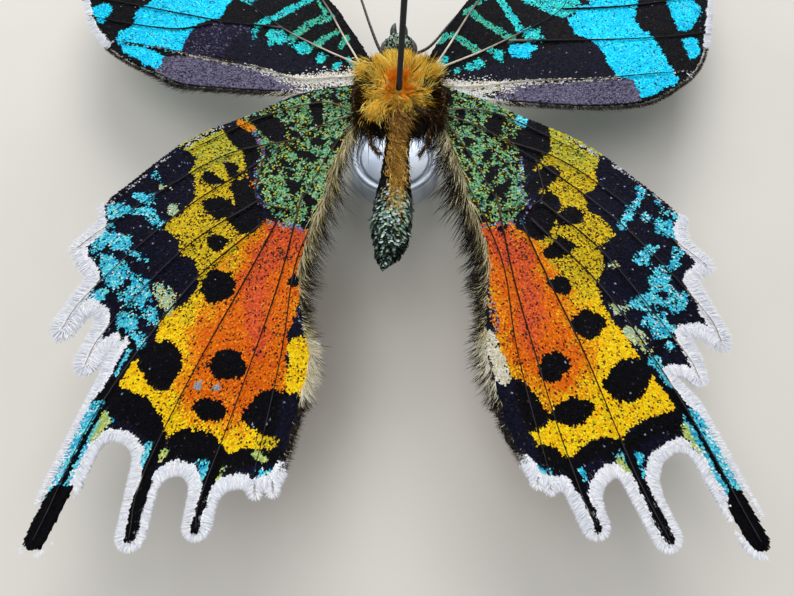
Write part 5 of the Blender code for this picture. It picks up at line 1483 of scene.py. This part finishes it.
def blunt_surface(directions):
    """Points of the thorax's rounded box in the directions from its centre, and the ways it faces."""
    size = np.array(THORAX_SIZE) * CORE_SHARE
    grown = np.sum(np.abs(directions) ** THORAX_BLUNT, axis=1) ** (1 / THORAX_BLUNT)
    points = directions / grown[:, None] * size
    steep = np.sign(points) * (np.abs(points) / size) ** (THORAX_BLUNT - 1) / size
    return points, unit(steep)


def clumped(roots, lies, length, clump_roots, clump_lies, pull):
    """Turns each hair towards the tip of the nearest clump."""
    away = np.linalg.norm(roots[:, None] - clump_roots[None], axis=2)
    near = np.argmin(away, axis=1)
    tips = clump_roots[near] + clump_lies[near] * length[:, None]
    toward = unit(tips - roots)
    return unit(lies * (1 - pull) + toward * pull)


def body_map(points, part):
    """A place on the body's own map: along the body and round it, a strip for each part."""
    away = points - points.mean(axis=0)
    turn = np.arctan2(away[:, 0], away[:, 2]) / (2 * np.pi) + 0.5
    along = (points[:, 1] - points[:, 1].min()) / max(np.ptp(points[:, 1]), 1e-6)
    return np.stack([MAP_BORDER + 0.97 * turn, MAP_BORDER + part * 0.33 + 0.3 * along], axis=1)


def thorax_fur(finish):
    """Soft fur that radiates from the pin and leans back, in clumps, brown on the flanks."""
    sizes = settings()
    rng = np.random.default_rng(sizes.seed + 50)
    ways = fibonacci(sizes.fur_count) + rng.normal(0, 0.02, (sizes.fur_count, 3))
    spots, normals = blunt_surface(unit(ways))
    ways = fibonacci(sizes.fur_clumps) + rng.normal(0, 0.05, (sizes.fur_clumps, 3))
    clump_spots, clump_normals = blunt_surface(unit(ways))

    def lie_of(points, facing, spread):
        from_pin = points + (0, THORAX_CENTRE[1], 0)
        from_pin = unit(from_pin * (1, 1, 0)) + (0, -0.3, 0)
        wild = rng.normal(0, spread, points.shape)
        return unit(square_to(facing, from_pin) * 0.5 + facing * 0.7 + wild)

    lies = lie_of(spots, normals, 0.42)
    clump_lies = lie_of(clump_spots, clump_normals, 0.6)
    length = sizes.fur_length / MM * rng.uniform(0.55, 1.15, len(spots))
    flank = np.abs(spots[:, 0]) > 2.0
    length[flank] *= 1.25
    length *= np.interp(spots[:, 1] + THORAX_CENTRE[1], (3.0, 5.5), (1.0, 0.6))
    lies = clumped(spots, lies, length, clump_spots, clump_lies, 0.72)
    points = on_body(spots + THORAX_CENTRE)
    keep = np.linalg.norm(spots[:, :2] + (0, THORAX_CENTRE[1]), axis=1) > PIN_CLEAR
    keep &= ~((points[:, 1] > 5.0) & (np.abs(points[:, 2] - HEAD_CENTRE[2]) < 1.2))
    names = body_marks(points - (BODY_X, 0, 0), rng)
    from_pin = np.linalg.norm(spots[:, :2] + (0, THORAX_CENTRE[1] - 0.4), axis=1)
    near_pin = from_pin < 1.1 + rng.normal(0, 0.3, len(spots))
    names[near_pin & (names == "fur")] = "furdeep"
    names[(names == "fur") & (rng.random(len(spots)) < 0.05)] = "brown"
    colours, shine = shade_mix(names, rng)
    width = sizes.fur_width / MM * rng.uniform(0.7, 1.3, len(spots))
    kept = (points, normals, lies, length, width, colours, shine)
    points, normals, lies, length, width, colours, shine = (part[keep] for part in kept)
    facing = square_to(lies, normals + rng.normal(0, 0.5, normals.shape))
    return coat("thorax_fur", points, facing, lies, (length, width, length), (colours, shine),
                body_map(points, 0), finish, ribbon_shape(3, 4.0, 0.12))


def fur_tufts(finish):
    """Loose tufts: tan and golden hair down the abdomen, brown and dark hair at the wings' roots."""
    rng = np.random.default_rng(settings().seed + 54)
    rows = []
    for centre, spread, way, length, name, count, sides in TUFTS:
        for sign in sides:
            spots = mirrored(centre, sign) + rng.normal(0, 1, (count, 3)) * spread
            lies = unit(mirrored(way, sign) + rng.normal(0, 0.28, (count, 3)))
            lengths = length * rng.uniform(0.6, 1.2, count)
            rows.append((spots, lies, lengths, np.full(count, name, dtype="<U8")))
    spots, lies, length, names = (np.concatenate([row[k] for row in rows]) for k in range(4))
    aside = np.array([0, 0, 1.0]) + rng.normal(0, 0.4, spots.shape)
    facing = square_to(lies, aside)
    shades = shade_mix(names, rng)
    width = rng.uniform(0.035, 0.07, len(spots))
    points = on_body(spots)
    return coat("body_tufts", points, facing, lies, (length, width, length), shades,
                body_map(points, 0), finish, ribbon_shape(3, 6.0, 0.15))


def leg_hair(finish):
    """Short brown hair round the legs, laid towards their feet."""
    rng = np.random.default_rng(settings().seed + 56)
    spots, ways = [], []
    for route in LEGS.values():
        for sign in (-1, 1):
            line = resample(smooth_line(on_body(mirrored(route, sign)), 0.1), 0.012)
            spots.append(line[:-1])
            ways.append(unit(np.diff(line, axis=0)))
    spots, ways = np.vstack(spots), np.vstack(ways)
    away = rng.normal(0, 1, spots.shape)
    away = square_to(ways, away)
    lies = unit(ways * 0.9 + away * 0.6)
    facing = square_to(lies, away)
    shades = shade_mix(np.where(rng.random(len(spots)) < 0.8, "brown", "tan"), rng)
    length = rng.uniform(0.3, 0.65, len(spots))
    width = rng.uniform(0.05, 0.09, len(spots))
    return coat("leg_hair", spots + away * 0.1, facing, lies, (length, width, length), shades,
                body_map(spots, 2), finish, ribbon_shape(2, 0.0, 0.1))


def abdomen_scales(finish):
    """Scales and short hair over the abdomen, laid back."""
    sizes = settings()
    rng = np.random.default_rng(sizes.seed + 51)
    count = sizes.body_scale_count
    y = rng.uniform(ABDOMEN[-1][0] - 1.5, -2.2, count)
    turn = rng.uniform(0, 2 * np.pi, count)
    shift, height, wide, deep = abdomen_at(y)
    past = np.clip((ABDOMEN[-1][0] - y) / (ABDOMEN[-1][0] - ABDOMEN_TIP[1]), 0, 1)
    shift = shift + (ABDOMEN_TIP[0] - shift) * past
    height = height + (ABDOMEN_TIP[2] - height) * past
    wide, deep = wide * (1 - past) * SKIN_SHARE, deep * (1 - past) * SKIN_SHARE
    spots = np.stack([shift + wide * np.cos(turn), y, height + deep * np.sin(turn)], axis=1)
    normals = unit(np.stack([np.cos(turn) / np.maximum(wide, 0.1), np.zeros(count),
                             np.sin(turn) / np.maximum(deep, 0.1)], axis=1))
    rise = rng.uniform(0.12, 0.45, (count, 1)) * (1 - 0.9 * past[:, None])
    inward = unit(np.array(ABDOMEN_TIP) - (0, 0.4, 0) - spots)
    lies = unit(np.array([0, -1.0, 0]) * (1 - past[:, None]) + inward * past[:, None] + normals * rise
                + rng.normal(0, 0.15, (count, 3)) * (1 - 0.6 * past[:, None]))
    facing = square_to(lies, normals)
    shades = shade_mix(body_marks(spots, rng), rng)
    length = sizes.body_scale_length / MM * rng.uniform(0.7, 1.3, count) * (1 - 0.5 * past)
    width = length * rng.uniform(0.3, 0.6, count)
    points = on_body(spots)
    return coat("abdomen_scales", points, facing, lies, (length, width, length * 0.4), shades,
                body_map(points, 1), finish, scale_shape())


def head_scales(finish):
    """Scales and short fur between the eyes."""
    sizes = settings()
    rng = np.random.default_rng(sizes.seed + 52)
    ways = unit(fibonacci(HEAD_SCALE_COUNT) + rng.normal(0, 0.02, (HEAD_SCALE_COUNT, 3)))
    spots = ways * np.array(HEAD_SIZE) * SKIN_SHARE
    normals = unit(ways / np.array(HEAD_SIZE))
    ahead = square_to(normals, np.array([[0, 1.0, 0]]))
    lies = unit(ahead + normals * 0.25 + rng.normal(0, 0.2, spots.shape))
    facing = square_to(lies, normals)
    points = on_body(spots + HEAD_CENTRE)
    shades = shade_mix(body_marks(points - (BODY_X, 0, 0), rng), rng)
    length = rng.uniform(0.3, 0.55, len(points))
    return coat("head_scales", points, facing, lies, (length, length * 0.4, length * 0.4), shades,
                body_map(points, 2), finish, scale_shape())


def limb(name, route, radii, finish, sides=12, step=0.12, ringed=0.0, joints=()):
    """A fine limb along the route, with small rings or swollen joints."""
    line = smooth_line(on_body(route), step)
    shares = np.linspace(0, 1, len(line))
    size = np.interp(shares, np.linspace(0, 1, len(radii)), radii)
    if ringed:
        size = size * (1 - 0.16 * (np.sin(np.arange(len(line)) * math.pi / 2) > 0.5))
    for joint in joints:
        size = size * (1 + 0.3 * np.exp(-((shares - joint) / 0.02) ** 2))
    bm = bmesh.new()
    rings = tube_rings(line, size, sides)
    tip = line[-1] + (line[-1] - line[-2]).normalized() * size[-1]
    loft_mesh(bm, rings, tip)
    return piece_from(bm, name, finish)


def turned(name, profile, steps, finish):
    """A profile of (radius, height) points turned round Z, from the axis at its top to its foot."""
    bm = bmesh.new()
    top = bm.verts.new((0, 0, profile[0][1]))
    bottom = bm.verts.new((0, 0, profile[-1][1]))
    turns = [2 * math.pi * k / steps for k in range(steps)]
    loops = [[bm.verts.new((r * math.cos(a), r * math.sin(a), h)) for a in turns] for r, h in profile[1:-1]]
    for i in range(steps):
        j = (i + 1) % steps
        bm.faces.new((top, loops[0][i], loops[0][j]))
        bm.faces.new((bottom, loops[-1][j], loops[-1][i]))
        for near, far in zip(loops, loops[1:]):
            bm.faces.new((near[i], far[i], far[j], near[j]))
    bmesh.ops.recalc_face_normals(bm, faces=bm.faces)
    return piece_from(bm, name, finish)


def length_property(name, description, size):
    """A length among the settings, its default given in millimetres."""
    return bpy.props.FloatProperty(name=name, description=description, default=size * MM, unit="LENGTH")


class MothSettings(bpy.types.PropertyGroup):
    """Sizes of the moth's fine parts."""

    seed: bpy.props.IntProperty(name="Seed", description="Seed of every random draw", default=23)
    map_patch: bpy.props.FloatProperty(
        name="Map patch", description="Width of one scale's patch on the coat's map", default=0.003)
    membrane: length_property("Membrane", "Thickness of a bare wing", 0.24)
    vein_rise: length_property("Vein rise", "Height of a vein over the membrane", 0.12)
    skin_step: length_property("Skin step", "Distance between the membrane's points", 0.4)
    fringe_inset: length_property("Fringe", "Depth of the margin that only the fringe covers", 0.5)
    scale_spacing: length_property("Scale spacing", "Distance between scales", 0.132)
    back_spread: bpy.props.FloatProperty(
        name="Back spread", description="How much wider the scales of the back lie", default=1.4)
    fringe_spacing: length_property("Fringe spacing", "Distance between hairs of the rim", 0.092)
    fringe_width: length_property("Fringe width", "Width of one hair of the rim", 0.075)
    edge_hair_count: bpy.props.IntProperty(
        name="Edge hairs", description="Hairs at the inner edge of a hindwing", default=4600)
    edge_hair_width: length_property("Edge hair width", "Width of one hair of the inner edge", 0.042)
    scale_length: length_property("Scale length", "Length of a wing scale", 0.24)
    scale_width: length_property("Scale width", "Width of a wing scale", 0.15)
    fur_count: bpy.props.IntProperty(name="Fur", description="Hairs on the thorax", default=22000)
    fur_clumps: bpy.props.IntProperty(name="Clumps", description="Clumps of fur on the thorax", default=420)
    fur_length: length_property("Fur length", "Length of the thorax's hair", 1.35)
    fur_width: length_property("Fur width", "Width of one hair", 0.06)
    body_scale_count: bpy.props.IntProperty(
        name="Body scales", description="Scales on the abdomen", default=9000)
    body_scale_length: length_property("Body scale length", "Length of a scale of the abdomen", 0.5)
    light_power: bpy.props.FloatProperty(
        name="Light", description="Power of the main light", default=0.35, unit="POWER")


class MOTH_OT_wings(bpy.types.Operator):
    """Make the membranes of the four wings and their scales"""

    bl_idname = "moth.wings"
    bl_label = "Wings"

    def execute(self, context):
        membrane = scale_material("wing_membrane", 0.7)
        finish = scale_material("wing_scales", 0.5)
        for kind in ("fore", "hind"):
            for side in SIDES:
                node = "wing_%s_%s" % (kind, side)
                skin = wing_skin(kind, side, membrane)
                finished(skin, node, slot=kind + "_wing_scales")
                for face in FACES:
                    finished(wing_scales(kind, side, face, finish), slot=kind + "_wing_scales")
        return {"FINISHED"}


class MOTH_OT_fringes(bpy.types.Operator):
    """Make the white rims, the hair of the wings' edges and the veins"""

    bl_idname = "moth.fringes"
    bl_label = "Fringes and veins"

    def execute(self, context):
        rim = scale_material("fringe_hair", 0.7)
        hair = scale_material("edge_hair", 0.6)
        vein = scale_material("vein", 0.5)
        for kind in ("fore", "hind"):
            for side in SIDES:
                for face in FACES:
                    finished(wing_fringe(kind, side, face, rim), slot=kind + "_wing_scales")
                finished(edge_hairs(kind, side, hair), slot=kind + "_wing_scales")
                finished(wing_veins(kind, side, vein), slot=kind + "_wing_scales")
        return {"FINISHED"}


class MOTH_OT_body(bpy.types.Operator):
    """Make the skin of head, thorax and abdomen, and its coat"""

    bl_idname = "moth.body"
    bl_label = "Body"

    def execute(self, context):
        skin = body_skin(scale_material("body_skin", 0.8))
        finished(skin, "head", "thorax", "abdomen", slot="thorax_fur")
        fur = scale_material("fur", 0.7)
        finished(thorax_fur(fur), slot="thorax_fur")
        finished(fur_tufts(fur), slot="thorax_fur")
        finish = scale_material("body_scales", 0.5)
        finished(abdomen_scales(finish), slot="abdomen_scales")
        finished(head_scales(finish), slot="head_scales")
        return {"FINISHED"}


class MOTH_OT_limbs(bpy.types.Operator):
    """Make the eyes, palps, antennae and legs"""

    bl_idname = "moth.limbs"
    bl_label = "Eyes, palps, antennae and legs"

    def execute(self, context):
        dark = grained_material("horn_black", ("#0c0a0a", "#2a2420"), 6, 0.45, bump=0.02)
        brown = grained_material("leg_brown", ("#1e140c", "#402a18"), 3, 0.6, bump=0.03)
        lens = grained_material("eye_grey", ("#4a4640", "#6e6a64"), 4, 0.25, bump=0.01)
        scaly = grained_material("palp_scales", ("#121816", "#42544a"), 5, 0.5, bump=0.05)
        for side, sign in (("left", -1), ("right", 1)):
            finished(limb("antenna_" + side + "_fine", ANTENNA[side], ANTENNA_RADII, dark, ringed=1.0),
                     "antenna_" + side, slot="antenna_brown")
            bm = bmesh.new()
            ellipsoid_mesh(bm, on_body(mirrored(EYE_PLACE, sign)), EYE_SIZE, 2.0, 64, 40)
            finished(piece_from(bm, "eye_" + side + "_lens", lens), "eye_" + side, slot="eye")
            palp = limb("palp_" + side + "_fine", mirrored(PALP, sign), PALP_RADII, scaly)
            finished(palp, "palp_" + side, slot="palp_scales")
            for pair, route in LEGS.items():
                name = "leg_%s_%s" % (pair, side)
                leg = limb(name + "_fine", mirrored(route, sign), LEG_RADII, brown, joints=LEG_JOINTS)
                finished(leg, name, slot="leg_brown")
        finished(leg_hair(scale_material("leg_hair", 0.7)), slot="leg_brown")
        return {"FINISHED"}


class MOTH_OT_stand(bpy.types.Operator):
    """Make the plated disc and the pin"""

    bl_idname = "moth.stand"
    bl_label = "Stand"

    def execute(self, context):
        top, low = DISC_HEIGHT, DISC_EDGE * 0.29
        groove = [(DISC_GROOVE + 0.12 * math.cos(a), top - 0.13 * math.sin(a))
                  for a in np.linspace(math.pi, 0, 9)]
        edge = [(DISC_RADIUS - DISC_EDGE * (1 - math.sin(a)), top - DISC_EDGE * (1 - math.cos(a)))
                for a in np.linspace(0, math.pi / 2, 8)]
        foot = [(DISC_RADIUS, DISC_EDGE), (DISC_RADIUS - low, low), (DISC_RADIUS - DISC_EDGE, 0)]
        profile = [(0, top), (1.5, top), (DISC_GROOVE - 0.3, top), *groove, *edge, *foot, (0, 0)]
        # The disc's pale blue shades are plated metal with a painted reflection of the pale sky in them.
        disc = turned("stand_disc_plated", profile, 160,
                      grained_material("plated_disc", ("#c8d4e8", "#ecf4ff"), 0.5, 0.5, 1.0, (1, 1, 0.2)))
        finished(disc, "stand_disc", slot="plated_disc")
        head = PIN_HEAD_RADIUS
        profile = [(0, PIN_LENGTH), (0.06, PIN_LENGTH - 0.2), (PIN_RADIUS, PIN_LENGTH - PIN_POINT)]
        start = math.pi - math.asin(PIN_RADIUS / head)
        profile += [(head * math.sin(a), head * (1 - math.cos(a))) for a in np.linspace(start, 0.15, 16)]
        enamel = grained_material("pin_enamel", ("#040405", "#0e0e12"), 2, 0.3, 0.0, (1, 1, 0.2), 0.01)
        pin = turned("stand_pin_fine", profile + [(0, 0)], 40, enamel)
        for vert in pin.data.vertices:
            x, y, z = vert.co
            vert.co = (x * math.cos(PIN_LEAN) + z * math.sin(PIN_LEAN), y,
                       z * math.cos(PIN_LEAN) - x * math.sin(PIN_LEAN) + PIN_FOOT * MM)
        finished(pin, "stand_pin", slot="pin_enamel")
        return {"FINISHED"}


class MOTH_OT_stage(bpy.types.Operator):
    """Make the floor, the lights, the world and the camera"""

    bl_idname = "moth.stage"
    bl_label = "Stage"

    def execute(self, context):
        scene = context.scene
        bpy.ops.mesh.primitive_plane_add(size=0.8, location=(0, 0, 0))
        floor = context.object
        floor.name = "floor"
        floor.data.materials.append(grained_material("pale_floor", ("#dcd8d0", "#e4e0d8"), 0.02, 0.65))
        for name, spot, size, share in LIGHTS:
            data = bpy.data.lights.new(name, "AREA")
            data.energy = settings().light_power * share
            data.size = size
            lamp = linked(name, data)
            lamp.location = spot
            lamp.rotation_euler = Vector(spot).to_track_quat("Z", "Y").to_euler()
        world = bpy.data.worlds.new("studio")
        world.use_nodes = True
        sky = world.node_tree.nodes["Background"]
        sky.inputs["Color"].default_value = SKY_COLOUR
        sky.inputs["Strength"].default_value = SKY_STRENGTH
        scene.world = world
        scene.view_settings.view_transform = "Standard"
        camera = bpy.data.cameras.new("camera")
        camera.lens = CAMERA_LENS
        camera.sensor_width = 36
        camera.clip_start = 0.001
        eye = linked("camera", camera)
        eye.location = [part * MM for part in CAMERA_PLACE]
        eye.rotation_euler = (CAMERA_TILT, 0, 0)
        scene.camera = eye
        return {"FINISHED"}


class MOTH_PT_panel(bpy.types.Panel):
    """The moth's operators and sizes"""

    bl_label = "Sunset moth"
    bl_space_type = "VIEW_3D"
    bl_region_type = "UI"
    bl_category = "Moth"

    def draw(self, context):
        for operator in OPERATORS:
            self.layout.operator(operator.bl_idname)
        for name in MothSettings.__annotations__:
            self.layout.prop(context.scene.moth, name)


OPERATORS = (MOTH_OT_stage, MOTH_OT_stand, MOTH_OT_wings, MOTH_OT_fringes, MOTH_OT_body, MOTH_OT_limbs)
CLASSES = (MothSettings, *OPERATORS, MOTH_PT_panel)


def register():
    for kind in CLASSES:
        bpy.utils.register_class(kind)
    bpy.types.Scene.moth = bpy.props.PointerProperty(type=MothSettings)


def unregister():
    del bpy.types.Scene.moth
    for kind in reversed(CLASSES):
        bpy.utils.unregister_class(kind)


def main():
    register()
    bpy.ops.moth.stage()
    bpy.ops.moth.stand()
    bpy.ops.moth.wings()
    bpy.ops.moth.fringes()
    bpy.ops.moth.body()
    bpy.ops.moth.limbs()


if __name__ == "__main__":
    main()
